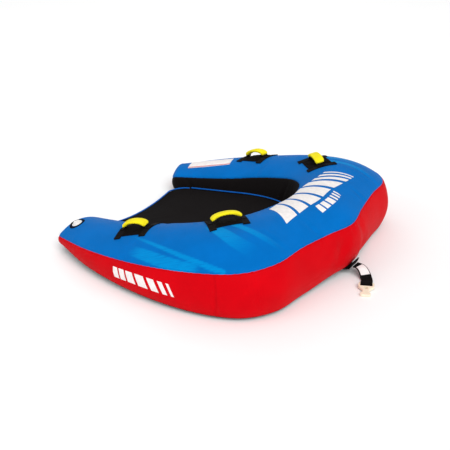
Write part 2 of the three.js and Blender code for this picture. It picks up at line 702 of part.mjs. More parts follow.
/** Fixed tapes, closed chain and stops. */
function zipperTrack() {
  const { length, tapeWidth, tapeThickness, chainWidth, chainThickness, gap, stopLength } = ZIPPER;
  const tapeOffset = (chainWidth + tapeWidth) / 2 + gap;
  const parts = [[1, 'upper'], [-1, 'lower']].map(([side, label]) => (
    mesh(`zipper_tape_${label}`, block(length, tapeWidth, tapeThickness, 0, side * tapeOffset, 0), blackFabric)
  ));
  const chainLength = length - 2 * (stopLength + gap);
  parts.push(mesh('zipper_chain', block(chainLength, chainWidth, chainThickness, 0, 0, 0), blackFabric));
  for (const [end, label] of [[1, 'front'], [-1, 'rear']]) {
    const stop = block(stopLength, chainWidth, chainThickness + 1, (end * (length - stopLength)) / 2, 0, 0);
    parts.push(mesh(`zipper_stop_${label}`, stop, zipperMetal));
  }
  return parts;
}

/** Slider, parked at the front stop, and the pull that hangs between its two lugs. */
function zipperSlider() {
  const { length, tapeThickness, chainWidth, chainThickness, gap, stopLength } = ZIPPER;
  const { sliderLength, sliderWidth, sliderThickness, lugHeight } = ZIPPER;
  const { pullLength, pullWidth, pullThickness } = ZIPPER;
  const x = length / 2 - stopLength - 2 * gap - sliderLength / 2;
  const bottom = tapeThickness + gap;
  const body = block(sliderLength, sliderWidth, sliderThickness - bottom, x, 0, bottom);
  const channel = block(sliderLength + 2, chainWidth + 2 * gap, chainThickness + gap, x, 0, 0);
  const lugOffset = pullWidth / 2 + gap + 0.8;
  const lugs = [-1, 1].map((side) => block(4, 1.6, lugHeight + 1, x, side * lugOffset, sliderThickness - 1));
  const slider = mesh('zipper_slider', join(join(cut(body, channel), lugs[0]), lugs[1]), zipperMetal);
  const axisHeight = sliderThickness + lugHeight / 2;
  const barrel = new THREE.CylinderGeometry(1.4, 1.4, pullWidth, 12).translate(x, 0, axisHeight);
  const plateHeight = axisHeight - pullThickness / 2;
  const plate = block(pullLength, pullWidth, pullThickness, x - pullLength / 2, 0, plateHeight);
  const pull = mesh('zipper_pull', join(plate, barrel), zipperMetal);
  return [slider, pull];
}

// ---------------------------------------------------------------- tow strap and connector

/** Where the strap lies in plan: it leaves the nose forwards and turns to starboard. */
function towTrack(distance) {
  const radius = TOW.turnLength / radians(TOW.turnAngle);
  const turnedLength = Math.min(distance, TOW.turnLength);
  const heading = turnedLength / radius;
  const along = vector(Math.cos(heading), -Math.sin(heading), 0);
  const point = vector(TOW.rootX + radius * Math.sin(heading), radius * (Math.cos(heading) - 1), 0);
  point.addScaledVector(along, distance - turnedLength);
  return { point, along, side: vector(-along.y, along.x, 0) };
}

const barDistance = TOW.turnLength + TOW.straight;

/** The strap's middle line as [distance, height]: down to the ground, round the bar and back under itself. */
function towProfile() {
  const { rootZ, layerHeight, barHeight, loopRadius, tailLength } = TOW;
  const drop = Array.from({ length: 10 }, (_, i) => {
    const share = i / 9;
    const rise = THREE.MathUtils.smootherstep(share, 0, 1);
    return [12 + 88 * share, THREE.MathUtils.lerp(rootZ, layerHeight, rise)];
  });
  const climb = [[-22, layerHeight], [-19, layerHeight + 1.6], [-15, layerHeight + 5]];
  const loop = [130, 105, 80, 55, 30, 5, -20, -45, -68, -90].map((angle) => (
    [loopRadius * Math.cos(radians(angle)), barHeight + loopRadius * Math.sin(radians(angle))]
  ));
  const tail = [[-14, barHeight - loopRadius], [-tailLength, barHeight - loopRadius]];
  const ended = [...climb, ...loop, ...tail].map(([fromBar, height]) => [barDistance + fromBar, height]);
  return [[0, rootZ], ...drop, ...ended];
}

/** Rows of points to both sides of the strap's middle line, lifted off it. */
function towRows(profile, width, lift) {
  return profile.map(([distance, height], i) => {
    const [before, after] = [profile[Math.max(0, i - 1)], profile[Math.min(profile.length - 1, i + 1)]];
    const { point, along, side } = towTrack(distance);
    const run = new THREE.Vector2(after[0] - before[0], after[1] - before[1]).normalize();
    point.addScaledVector(along, -run.y * lift).setZ(height + run.x * lift);
    return [-0.5, 0.5].map((across) => point.clone().addScaledVector(side, across * width));
  });
}

function towStrap() {
  const { webbingWidth, webbingThickness } = TOW;
  const profile = towProfile();
  const face = (lift) => towRows(profile, webbingWidth, lift);
  return slab(face(webbingThickness / 2), face(-webbingThickness / 2));
}

/** Blank tag sewn on the strap. */
function towLabel() {
  const { labelStart, labelLength, labelWidth, labelThickness, webbingThickness } = TOW;
  const onLabel = ([distance]) => distance >= labelStart && distance <= labelStart + labelLength;
  const profile = towProfile().slice(0, 11).filter(onLabel);
  const bottom = webbingThickness / 2 + 0.5;
  return slab(towRows(profile, labelWidth, bottom + labelThickness), towRows(profile, labelWidth, bottom));
}

/** Wide webbing that is sewn under the nose and turns up round its lower edge. */
function towAnchor() {
  const { anchorX, anchorWidth, anchorThickness, noseLip } = TOW;
  const line = [[anchorX, noseLip[0][1]], ...noseLip];
  const grid = (lift) => line.map(([x, z], i) => {
    const [before, after] = [line[Math.max(0, i - 1)], line[Math.min(line.length - 1, i + 1)]];
    const run = new THREE.Vector2(after[0] - before[0], after[1] - before[1]).normalize();
    return [-0.5, 0.5].map((across) => vector(x - run.y * lift, across * anchorWidth, z + run.x * lift));
  });
  return slab(grid(anchorThickness / 2), grid(-anchorThickness / 2));
}

/** Flat outline with mirrored sides, a slot for the strap and an eye for the tow rope. */
function connectorShape() {
  const { barHalf, armHalfWidth, slotHalfWidth, slotEnd, shoulderX, holeX, holeRadius } = CONNECTOR;
  const { waistX, waistHalfWidth, hornX, hornHalfWidth, endX } = CONNECTOR;
  const corner = 6;
  const shape = new THREE.Shape();
  shape.moveTo(-barHalf, corner - armHalfWidth);
  for (const side of [-1, 1]) {
    const place = side < 0 ? (points) => points : (points) => points.slice().reverse();
    const run = place([
      [-barHalf, armHalfWidth - corner], [corner - barHalf, armHalfWidth], [shoulderX - 6, armHalfWidth],
      [shoulderX, armHalfWidth - 5], [waistX - 10, waistHalfWidth + 2], [waistX, waistHalfWidth],
      [hornX - 8, waistHalfWidth + 2], [hornX, hornHalfWidth],
      [endX - 4, hornHalfWidth], [endX, hornHalfWidth - 5],
    ]);
    run.forEach(([x, y]) => shape.lineTo(x, side * y));
  }
  const slot = new THREE.Path();
  slot.moveTo(barHalf, -slotHalfWidth).lineTo(slotEnd, -slotHalfWidth);
  slot.lineTo(slotEnd, slotHalfWidth).lineTo(barHalf, slotHalfWidth);
  const eye = new THREE.Path().absarc(holeX, 0, holeRadius, 0, 2 * Math.PI, true);
  shape.holes.push(slot, eye);
  return shape;
}

function connector() {
  const { thickness, tilt } = CONNECTOR;
  const options = { depth: thickness, bevelEnabled: false, curveSegments: 12 };
  const geometry = new THREE.ExtrudeGeometry(connectorShape(), options);
  const part = mesh('tow_connector', geometry.translate(0, 0, -thickness / 2), creamPlastic);
  const { point, along, side } = towTrack(barDistance);
  const down = along.clone().applyAxisAngle(side, radians(tilt));
  part.position.copy(point).setZ(TOW.barHeight);
  part.quaternion.setFromRotationMatrix(new THREE.Matrix4().makeBasis(down, side, down.clone().cross(side)));
  return part;
}

// ---------------------------------------------------------------- assembly

/** Named mesh. */
function mesh(name, geometry, material) {
  const part = new THREE.Mesh(geometry, material);
  part.name = name;
  return part;
}

/** Shaft along the valve's axis, in the tube's frame, that clears the valve through the cover or bladder. */
function valveShaft(frame, radius, depth) {
  const shaft = new THREE.CylinderGeometry(radius, radius, depth + 12, VALVE.sides);
  return shaft.rotateX(Math.PI / 2).translate(0, 0, 6 - depth / 2).applyMatrix4(frame);
}

const tube = new THREE.Group();

const valve = valveGroup();
valve.updateMatrix();
valvePieces(valve);
const flangeShaft = valveShaft(valve.matrix, VALVE.flangeRadius + 0.6, 8);
const neckShaft = valveShaft(valve.matrix, VALVE.neckRadius + 0.6, VALVE.neckDepth + 1);
tube.add(valve);

tube.add(mesh('bladder', cut(cut(bladder(), flangeShaft), neckShaft), bladderVinyl));
tube.add(mesh('cover_top_panel', cut(coverPanel('top'), flangeShaft), blueFabric));
tube.add(mesh('cover_outer_wall', coverPanel('outer'), redFabric));
tube.add(mesh('cover_cockpit_wall', coverPanel('inner'), blackFabric));
tube.add(mesh('cover_bottom_panel', coverPanel('bottom'), blackFabric));

const padTop = FLOOR.coverThickness + FLOOR.layerGap;
const slingTop = padTop + FLOOR.padThickness + FLOOR.layerGap;
tube.add(mesh('floor_cover', floorLayer(0, FLOOR.coverThickness, 0), floorFabric));
tube.add(mesh('floor_pad', floorLayer(padTop, padTop + FLOOR.padThickness, FLOOR.padInset), foam));
tube.add(mesh('floor_sling', floorLayer(slingTop, slingTop + FLOOR.slingThickness, 4), blackFabric));
tube.add(mesh('floor_piping_wall', wallPiping(), blueFabric));
tube.add(mesh('floor_piping_rear', rearPiping(), blueFabric));

for (const [end, place] of Object.entries(HANDLE_PLACES)) {
  for (const [side, label] of [[1, 'port'], [-1, 'starboard']]) {
    tube.add(handle(`handle_${end}_${label}`, side, place));
  }
}

const labelFrame = skinFrame(0.5 + LABEL.place / 2, LABEL.share, 0);
tube.add(mesh('safety_label', skinPatch(labelFrame, { ...LABEL, rows: 7, columns: 4 }), labelVinyl));

const zipper = zipperGroup();
zipper.add(...zipperTrack(), ...zipperSlider());
tube.add(zipper);

tube.add(mesh('tow_anchor', towAnchor(), blackFabric));
tube.add(mesh('tow_strap', towStrap(), blackFabric));
tube.add(mesh('tow_strap_tag', towLabel(), labelVinyl));
tube.add(connector());

// The origin is on the ground, under the middle of everything.
tube.updateMatrixWorld(true);
const extent = new THREE.Box3().setFromObject(tube, true);
tube.position.set(-(extent.min.x + extent.max.x) / 2, -(extent.min.y + extent.max.y) / 2, -extent.min.z);

export default tube;
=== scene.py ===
"""A towable tube for one rider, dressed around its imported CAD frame.

The inflated cover, the padded floor, the handles, the valve, the zipper and the tow strap are made
in metres in the frame's own axes: +X forward, +Y to port, +Z up.
"""

import math

import bpy
import numpy as np
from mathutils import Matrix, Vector


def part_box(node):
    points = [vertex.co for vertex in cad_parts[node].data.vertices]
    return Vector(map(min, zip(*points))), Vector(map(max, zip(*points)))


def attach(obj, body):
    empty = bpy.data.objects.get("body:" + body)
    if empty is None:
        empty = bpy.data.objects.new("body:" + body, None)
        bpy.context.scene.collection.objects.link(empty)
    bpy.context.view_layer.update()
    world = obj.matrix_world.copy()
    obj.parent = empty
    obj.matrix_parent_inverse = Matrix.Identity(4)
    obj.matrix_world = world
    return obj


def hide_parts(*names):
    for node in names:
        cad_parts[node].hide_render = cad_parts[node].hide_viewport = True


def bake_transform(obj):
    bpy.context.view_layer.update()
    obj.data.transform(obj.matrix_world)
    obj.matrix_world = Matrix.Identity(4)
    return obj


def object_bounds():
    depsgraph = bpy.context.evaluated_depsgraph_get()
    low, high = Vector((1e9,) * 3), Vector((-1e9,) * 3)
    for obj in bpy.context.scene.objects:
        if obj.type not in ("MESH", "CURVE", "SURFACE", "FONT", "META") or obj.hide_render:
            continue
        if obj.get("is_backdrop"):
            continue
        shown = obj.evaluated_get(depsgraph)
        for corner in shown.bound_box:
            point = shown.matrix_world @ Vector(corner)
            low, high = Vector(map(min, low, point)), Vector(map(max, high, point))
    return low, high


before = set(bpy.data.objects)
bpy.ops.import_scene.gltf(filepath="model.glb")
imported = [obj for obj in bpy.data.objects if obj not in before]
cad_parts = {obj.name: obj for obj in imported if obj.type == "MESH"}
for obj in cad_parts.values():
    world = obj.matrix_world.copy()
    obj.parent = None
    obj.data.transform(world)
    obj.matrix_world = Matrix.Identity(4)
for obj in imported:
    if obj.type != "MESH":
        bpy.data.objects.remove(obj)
CAD_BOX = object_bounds()

# ---------------------------------------------------------------- the tube's shape, metres

# Half of the tube's outline, from the middle of the nose back along the port leg to its tail:
# where the top panel meets the outer wall (seam) and where it meets the cockpit wall (rim).
HALF_OUTLINE = [
    ((0.550, 0.000, 0.225), (0.250, 0.000, 0.280)),  # middle of the nose
    ((0.520, 0.155, 0.230), (0.230, 0.105, 0.275)),  # nose flank
    ((0.490, 0.325, 0.233), (0.180, 0.200, 0.260)),  # front lobe
    ((0.465, 0.490, 0.225), (0.100, 0.270, 0.237)),  # start of the front corner
    ((0.365, 0.615, 0.210), (-0.005, 0.310, 0.207)),  # front corner
    ((0.160, 0.670, 0.187), (-0.125, 0.325, 0.177)),  # widest place
    ((-0.110, 0.662, 0.152), (-0.250, 0.320, 0.148)),  # middle of the leg
    ((-0.390, 0.598, 0.113), (-0.395, 0.310, 0.123)),  # rear of the leg
    ((-0.630, 0.495, 0.072), (-0.550, 0.294, 0.102)),  # tail, where its round end starts
]
TAIL_LENGTH = 0.046
TAIL_SHARE = 0.0165  # share of the outline that each round end takes
TAIL_SEAM_HEIGHT = 0.062
TAIL_RISE = 0.022
TAIL_RISE_START = 0.45
NOSE_RISE = 0.022
NOSE_RISE_END = 0.28
FOOT_INSET = 0.003
FOOT_HEIGHT = 0.012
FOOT_FLAT_START = 0.18
PANELS = {  # corners that each panel runs between, and its bulge as a share of its width
    "top": ("rim", "seam", 0.18),
    "outer": ("seam", "outer_foot", 0.14),
    "bottom": ("outer_foot", "inner_foot", 0.0),
    "inner": ("inner_foot", "rim", 0.12),
}
FLOOR_REAR_X = -0.545
FLOOR_FRONT_X = 0.212
FLOOR_REAR_Z = 0.052
FLOOR_FRONT_Z = 0.126
FLOOR_SAG = 0.022
FLOOR_CORNER = 0.070
FLOOR_WALL_GAP = 0.003


def catmull(points, share):
    """Uniform Catmull-Rom spline through points, at shares from 0 to 1 of the way."""
    points = np.asarray(points, float)
    ends = np.vstack([2 * points[0] - points[1], points, 2 * points[-1] - points[-2]])
    place = np.clip(share, 0, 1) * (len(points) - 1)
    start = np.minimum(place.astype(int), len(points) - 2)
    t = (place - start)[..., None]
    a, b, c, d = (ends[start + k] for k in range(4))
    bend = 2 * a - 5 * b + 4 * c - d
    return 0.5 * (2 * b + (c - a) * t + bend * t**2 + (3 * b - a - 3 * c + d) * t**3)


def whole_outline(edge):
    """Points of the seam (0) or the rim (1) from the starboard tail round to the port tail."""
    port = np.array([station[edge] for station in HALF_OUTLINE])
    return np.vstack([port[:0:-1] * (1, -1, 1), port])


SEAM = whole_outline(0)
RIM = whole_outline(1)


def flat(vectors):
    """The same vectors without their height, at length 1."""
    level = vectors * (1, 1, 0)
    return level / np.maximum(np.linalg.norm(level, axis=-1, keepdims=True), 1e-9)


def unit(vectors):
    return vectors / np.maximum(np.linalg.norm(vectors, axis=-1, keepdims=True), 1e-12)


def underside(u):
    """How far the underside is off the ground."""
    place = np.abs(2 * u - 1)
    tail = np.maximum(0, (place - TAIL_RISE_START) / (1 - TAIL_RISE_START))
    nose = (1 + np.cos(np.pi * np.minimum(1, place / NOSE_RISE_END))) / 2
    return TAIL_RISE * tail**2 + NOSE_RISE * nose


def corners(place):
    """The four seam corners of the cross section at each place. Past 0 and 1 it rounds a leg's end."""
    place = np.asarray(place, float)
    u = np.clip(place, 0, 1)
    angle = np.pi / 2 * np.minimum(1, np.abs(place - u) / TAIL_SHARE)
    narrow = np.cos(angle)[..., None]
    far = np.sin(angle)[..., None]
    seam = catmull(SEAM, u)
    rim = catmull(RIM, u)
    inboard = np.where(u < 0.5, u + 0.02, u - 0.02)
    middle = (seam + rim) / 2
    rearward = flat(middle - (catmull(SEAM, inboard) + catmull(RIM, inboard)) / 2)
    edges = []
    for corner in (seam, rim):
        height = corner[..., 2:] + (TAIL_SEAM_HEIGHT - corner[..., 2:]) * far**2
        moved = middle + (corner - middle) * narrow + rearward * TAIL_LENGTH * far
        edges.append(np.concatenate([moved[..., :2], height], -1))
    outward = flat(seam - rim)
    foot_height = (underside(u) + FOOT_HEIGHT)[..., None]
    outer_foot = np.concatenate([(edges[0] - outward * FOOT_INSET * narrow)[..., :2], foot_height], -1)
    inner_foot = np.concatenate([edges[1][..., :2], foot_height], -1)
    return {
        "seam": edges[0], "rim": edges[1], "outer_foot": outer_foot, "inner_foot": inner_foot,
        "outward": outward, "narrow": narrow,
    }


def panel_point(section, name, share):
    """Point on a panel of a cross section; share runs from the panel's first corner to its second."""
    first, second, bulge = PANELS[name]
    share = np.asarray(share, float)[..., None]
    chord = section[second] - section[first]
    point = section[first] + chord * share
    if name == "bottom":
        rounding = np.maximum(0, 1 - np.minimum(share, 1 - share) / FOOT_FLAT_START)
        drop = FOOT_HEIGHT * (1 - rounding**2)
        return np.concatenate([point[..., :2], point[..., 2:] - drop], -1)
    arch = bulge * 4 * share * (1 - share) * section["narrow"] ** 0.5
    across = np.sum(chord * section["outward"], -1, keepdims=True)
    point = point - section["outward"] * chord[..., 2:] * arch
    return np.concatenate([point[..., :2], point[..., 2:] + across * arch], -1)


def skin(u, share, name):
    """Point, outward normal and the two tangents of the inflated surface."""
    u = np.asarray(u, float)
    share = np.asarray(share, float)
    du, ds = 1e-4, 1e-3
    point = panel_point(corners(u), name, share)
    ahead, behind = (panel_point(corners(u + step), name, share) for step in (du, -du))
    along_u = (ahead - behind) / (2 * du)
    section = corners(u)
    along_share = (panel_point(section, name, share + ds) - panel_point(section, name, share - ds)) / (2 * ds)
    return point, unit(np.cross(along_share, along_u)), along_u, along_share


class SkinFrame:
    """Axes on the skin: x runs forward along the tube turned by some degrees, z is the outward normal."""

    def __init__(self, u, share, turn=0.0, name="top"):
        self.u, self.share, self.name = u, share, name
        self.point, self.z, along, _ = skin(u, share, name)
        ahead = along * (-1 if u > 0.5 else 1)
        ahead = unit(ahead - self.z * np.dot(ahead, self.z))
        angle = math.radians(-turn if u > 0.5 else turn)
        side = np.cross(self.z, ahead)
        self.x = ahead * math.cos(angle) + side * math.sin(angle)
        self.y = np.cross(self.z, self.x)

    def on_skin(self, along, across, lift):
        """Points on the skin that lie along and across from the frame's origin, lifted off the skin."""
        along, across = np.broadcast_arrays(np.asarray(along, float), np.asarray(across, float))
        target = self.point + along[..., None] * self.x + across[..., None] * self.y
        u = np.full(along.shape, float(self.u))
        share = np.full(along.shape, float(self.share))
        for _ in range(6):
            here, _, p, q = skin(u, share, self.name)
            miss, p, q = (v - self.z * (v @ self.z)[..., None] for v in (target - here, p, q))
            pp, qq, pq = (np.sum(a * b, -1) for a, b in ((p, p), (q, q), (p, q)))
            pm, qm = np.sum(p * miss, -1), np.sum(q * miss, -1)
            size = pp * qq - pq**2
            u = u + (qq * pm - pq * qm) / size
            share = share + (pp * qm - pq * pm) / size
        here, normal, _, _ = skin(u, share, self.name)
        return here + normal * np.asarray(lift, float)[..., None]

    def straight(self, reach, lift):
        """Function that places a straight piece: its x runs between two spots a reach apart on the skin."""
        ends = self.on_skin(np.array([-0.5, 0.5]) * reach, np.zeros(2), lift)
        x = unit(ends[1] - ends[0])
        y = unit(np.cross(self.z, x))
        axes = np.array([x, y, np.cross(x, y)])
        return lambda points: ends.mean(0) + points @ axes


FRAME_SHIFT = np.array([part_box("floor_cover")[0].x - FLOOR_REAR_X, 0.0, 0.0])


# ---------------------------------------------------------------- mesh helpers

def grid_faces(rows, columns, round_rows=False, round_columns=False):
    """Quads between neighbouring points of a grid, closed on itself where asked."""
    r = np.arange(rows if round_rows else rows - 1)
    c = np.arange(columns if round_columns else columns - 1)
    row, column = (a.ravel() for a in np.meshgrid(r, c, indexing="ij"))
    below, beside = (row + 1) % rows, (column + 1) % columns
    corner = [(row, column), (below, column), (below, beside), (row, beside)]
    return np.stack([r * columns + c for r, c in corner], -1)


def face_out(points, faces):
    """The faces of a closed body, turned so that they point out."""
    quads = points[faces[:, :3]]
    volume = np.sum(quads[:, 0] * np.cross(quads[:, 1], quads[:, 2]))
    if faces.shape[1] == 4:
        volume += np.sum(points[faces[:, 0]] * np.cross(points[faces[:, 2]], points[faces[:, 3]]))
    return faces if volume > 0 else faces[:, ::-1]


def new_piece(name, points, faces, material, uv=None, fields=None, body="tube", replaced=(), slot=None):
    """A named mesh in the frame, riding on a body. uv and fields hold one value for each point."""
    data = bpy.data.meshes.new(name)
    data.from_pydata((points + FRAME_SHIFT).tolist(), [], [list(map(int, face)) for face in faces])
    if uv is not None:
        layer = data.uv_layers.new(name="UVMap")
        corner = np.zeros(len(data.loops), np.int32)
        data.loops.foreach_get("vertex_index", corner)
        layer.data.foreach_set("uv", uv[corner].astype(np.float32).ravel())
    for key, values in (fields or {}).items():
        data.attributes.new(key, "FLOAT", "POINT").data.foreach_set("value", values.astype(np.float32))
    data.polygons.foreach_set("use_smooth", [True] * len(data.polygons))
    data.materials.append(material)
    data.update()
    piece = bpy.data.objects.new(name, data)
    bpy.context.scene.collection.objects.link(piece)
    if body:
        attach(piece, body)
    if replaced:
        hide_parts(*replaced)
    return piece


def thicken(piece, thickness):
    """Gives an open skin its thickness, inwards."""
    modifier = piece.modifiers.new("thickness", "SOLIDIFY")
    modifier.thickness = thickness
    modifier.offset = -1
    return piece


def bevelled(piece, width, segments, angle):
    modifier = piece.modifiers.new("bevel", "BEVEL")
    modifier.width = width
    modifier.segments = segments
    modifier.limit_method = "ANGLE"
    modifier.angle_limit = math.radians(angle)
    return piece


def grid_of(x, y, z):
    """Grid of points whose x, y and z may each be a column, a row, a grid or one number."""
    return np.stack(np.broadcast_arrays(x, y, z), -1).astype(float)


def plate_places(length, rows, width, columns):
    """Places along and across a flat piece, from its middle, as two grids."""
    along = length * np.linspace(-0.5, 0.5, rows)
    across = width * np.linspace(-0.5, 0.5, columns)
    return np.meshgrid(along, across, indexing="ij")


def lengths_along(points):
    """Distance from the first row of points to each row, along the mean of its steps."""
    steps = np.linalg.norm(np.diff(points, axis=0), axis=-1)
    if steps.ndim > 1:
        steps = steps.mean(1)
    return np.concatenate([[0], np.cumsum(steps)])


def slab_body(upper, lower):
    """Points and faces of the closed body between two grids of points."""
    rows, columns = upper.shape[:2]
    count = rows * columns
    top = grid_faces(rows, columns)
    rim = np.concatenate([
        np.arange(columns), columns * np.arange(1, rows) + columns - 1,
        count - 2 - np.arange(columns - 1), columns * np.arange(rows - 2, 0, -1),
    ])
    side = np.stack([rim, np.roll(rim, -1), np.roll(rim, -1) + count, rim + count], -1)
    faces = np.vstack([top, top[:, ::-1] + count, side[:, ::-1]])
    points = np.vstack([upper.reshape(-1, 3), lower.reshape(-1, 3)])
    return points, face_out(points, faces)


def slab_piece(name, upper, lower, material, bevel, **options):
    """Closed flat piece between two grids of points, such as webbing, with rounded edges."""
    rows, columns = upper.shape[:2]
    along = np.repeat(lengths_along(upper)[:, None], columns, 1)
    widths = np.linalg.norm(np.diff(upper, axis=1), axis=-1).mean(0)
    across = np.repeat(np.concatenate([[0], np.cumsum(widths)])[None], rows, 0)
    uv = np.stack([along, across], -1).reshape(-1, 2)
    edge = np.minimum(across, across.max() - across)
    fields = {"edge": np.tile(edge.ravel(), 2)}
    points, faces = slab_body(upper, lower)
    piece = new_piece(name, points, faces, material, np.tile(uv, (2, 1)), fields, **options)
    if bevel:
        bevelled(piece, bevel, 2, 50)
    return piece


def sweep(path, radius):
    """Points, faces and UV places of a round cord along a path, with closed ends."""
    sides = 12
    ahead = unit(np.gradient(path, axis=0))
    side = unit(np.cross([0, 0, 1], ahead))
    up = np.cross(ahead, side)
    angles = 2 * np.pi * np.arange(sides) / sides
    circle = side[:, None] * np.cos(angles)[None, :, None] + up[:, None] * np.sin(angles)[None, :, None]
    tube = path[:, None] + radius * circle
    tips = path[[0, -1]] + ahead[[0, -1]] * ((-radius / 2,), (radius / 2,))
    points = np.vstack([tube.reshape(-1, 3), tips])
    faces = [list(f) for f in grid_faces(len(path), sides, round_columns=True)]
    first, last = len(points) - 2, len(points) - 1
    for k in range(sides):
        nxt = (k + 1) % sides
        faces.append([first, nxt, k])
        faces.append([last, (len(path) - 1) * sides + k, (len(path) - 1) * sides + nxt])
    uv = np.stack([np.repeat(lengths_along(path), sides), np.tile(angles * radius, len(path))], -1)
    return points, faces, np.vstack([uv, uv[:1], uv[-1:]])


def turned(profile, sides):
    """Points and faces of a solid of revolution about Z from a closed profile of (radius, height) pairs."""
    profile = np.array(profile, float)
    angles = 2 * np.pi * np.arange(sides) / sides
    radius, height = profile[:, 0], profile[:, 1]
    ring = np.stack([
        np.outer(np.cos(angles), radius), np.outer(np.sin(angles), radius), np.tile(height, (sides, 1)),
    ], -1)
    points = ring.reshape(-1, 3)
    return points, face_out(points, grid_faces(sides, len(profile), True, True))


def wobble(x, wavelength, seed, waves=5):
    """Smooth irregular ripple from about -1 to 1."""
    draw = np.random.default_rng(seed)
    total = np.zeros_like(np.asarray(x, float))
    for _ in range(waves):
        length = wavelength * draw.uniform(0.65, 1.7)
        total += np.sin(2 * np.pi * x / length + draw.uniform(0, 2 * np.pi))
    return total / waves**0.5 / 1.2


def smooth_step(x, low, high):
    t = np.clip((x - low) / (high - low), 0, 1)
    return t * t * (3 - 2 * t)


# ---------------------------------------------------------------- materials

WAVE_PITCH = 0.314  # distance between crests of a wave texture at scale 1


class Nodes:
    """A material's node tree, with short calls for the nodes that the looks are made of."""

    def __init__(self, name, roughness, metallic=0.0, **shader):
        self.material = bpy.data.materials.new(name)
        self.material.use_nodes = True
        self.tree = self.material.node_tree
        self.shader = self.tree.nodes["Principled BSDF"]
        self.shader.inputs["Roughness"].default_value = roughness
        self.shader.inputs["Metallic"].default_value = metallic
        for socket, value in shader.items():
            self.shader.inputs[socket.replace("_", " ")].default_value = value
        self.height = None

    def add(self, kind, settings=None, **inputs):
        node = self.tree.nodes.new("ShaderNode" + kind)
        for key, value in (settings or {}).items():
            setattr(node, key, value)
        for socket, value in inputs.items():
            self.put(node.inputs[socket.replace("_", " ")], value)
        return node

    def put(self, socket, value):
        if isinstance(value, bpy.types.NodeSocket):
            self.tree.links.new(value, socket)
        else:
            socket.default_value = value

    def math(self, operation, first, second=0.0):
        node = self.add("Math", {"operation": operation})
        self.put(node.inputs[0], first)
        self.put(node.inputs[1], second)
        return node.outputs[0]

    def times(self, first, second):
        return self.math("MULTIPLY", first, second)

    def place(self, source="Object"):
        return self.add("TexCoord").outputs[source]

    def field(self, name):
        return self.add("Attribute", {"attribute_name": name}).outputs["Fac"]

    def noise(self, scale, detail, roughness=0.5, place=None, stretch=None):
        vector = place or self.place()
        if stretch:
            mapping = self.add("Mapping", Vector=vector)
            mapping.inputs["Scale"].default_value = stretch
            vector = mapping.outputs[0]
        node = self.add("TexNoise", Vector=vector, Scale=scale, Detail=detail, Roughness=roughness)
        return node.outputs["Fac"]

    def ribs(self, pitch, direction, place=None):
        """Wave of 0 to 1 with one crest in each pitch along X, Y or Z."""
        settings = {"wave_type": "BANDS", "bands_direction": direction, "wave_profile": "SIN"}
        vector = place or self.place()
        wave = self.add("TexWave", settings, Vector=vector, Scale=WAVE_PITCH / pitch, Distortion=0.0)
        return wave.outputs["Fac"]

    def mix(self, factor, first, second):
        node = self.add("Mix", {"data_type": "RGBA"})
        self.put(node.inputs["Factor"], factor)
        for socket, value in ((node.inputs[6], first), (node.inputs[7], second)):
            self.put(socket, value if isinstance(value, bpy.types.NodeSocket) else (*value, 1.0))
        return node.outputs[2]

    def ramp(self, factor, low, high):
        """Factor stretched so that low gives 0 and high gives 1."""
        node = self.add("MapRange", {"interpolation_type": "SMOOTHSTEP"}, Value=factor)
        node.inputs["From Min"].default_value = low
        node.inputs["From Max"].default_value = high
        return node.outputs[0]

    def color(self, value):
        self.put(self.shader.inputs["Base Color"], value)

    def roughness(self, value):
        self.put(self.shader.inputs["Roughness"], value)

    def mottle(self, factor, low, high, color, dark, bright):
        """Colour that runs from a dark to a bright shade of itself as the factor goes from low to high."""
        return self.mix(self.ramp(factor, low, high), shade(color, dark), shade(color, bright))

    def uneven(self, factor, spread, start):
        """Roughness that starts at one value and grows with the factor."""
        self.roughness(self.math("ADD", self.times(factor, spread), start))

    def bump(self, height, strength, distance):
        node = self.add("Bump", Height=height, Strength=strength, Distance=distance)
        if self.height is not None:
            self.tree.links.new(self.height, node.inputs["Normal"])
        self.height = node.outputs["Normal"]
        self.tree.links.new(self.height, self.shader.inputs["Normal"])


def shade(color, factor):
    return tuple(min(1.0, channel * factor) for channel in color)


def linear(*channels):
    """Linear colour from screen values of 0 to 255."""
    return tuple(((c / 255 + 0.055) / 1.055) ** 2.4 if c > 10 else c / 255 / 12.92 for c in channels)


BLUE = linear(0, 106, 186)
LIGHT_BLUE = linear(0, 140, 208)
RED = linear(205, 3, 16)
BLACK = linear(21, 18, 18)
YELLOW = linear(250, 232, 34)
PRINT_WHITE = linear(236, 230, 228)
CREAM = linear(246, 230, 205)
STITCH_PITCH = 0.0042
STITCH_HALF_WIDTH = 0.0005
STITCH_SHARE = 0.72  # share of the pitch that the thread covers
THREAD_PITCH = 0.0011
SEAM_STITCH_INSET = 0.0065


def stitch_row(look, along, edge, inset):
    """Mask of a row of stitches that runs at a distance inset from an edge."""
    offset = look.math("ABSOLUTE", look.math("SUBTRACT", edge, inset))
    on_line = look.math("LESS_THAN", offset, STITCH_HALF_WIDTH)
    cycle = look.math("FRACT", look.math("DIVIDE", along, STITCH_PITCH))
    return look.times(on_line, look.math("LESS_THAN", cycle, STITCH_SHARE))


def weave(look, pitch, place):
    """Plain weave: 1 where threads cross and 0 between them."""
    warp = look.ribs(pitch, "X", place)
    weft = look.ribs(pitch, "Y", place)
    return look.times(warp, weft)


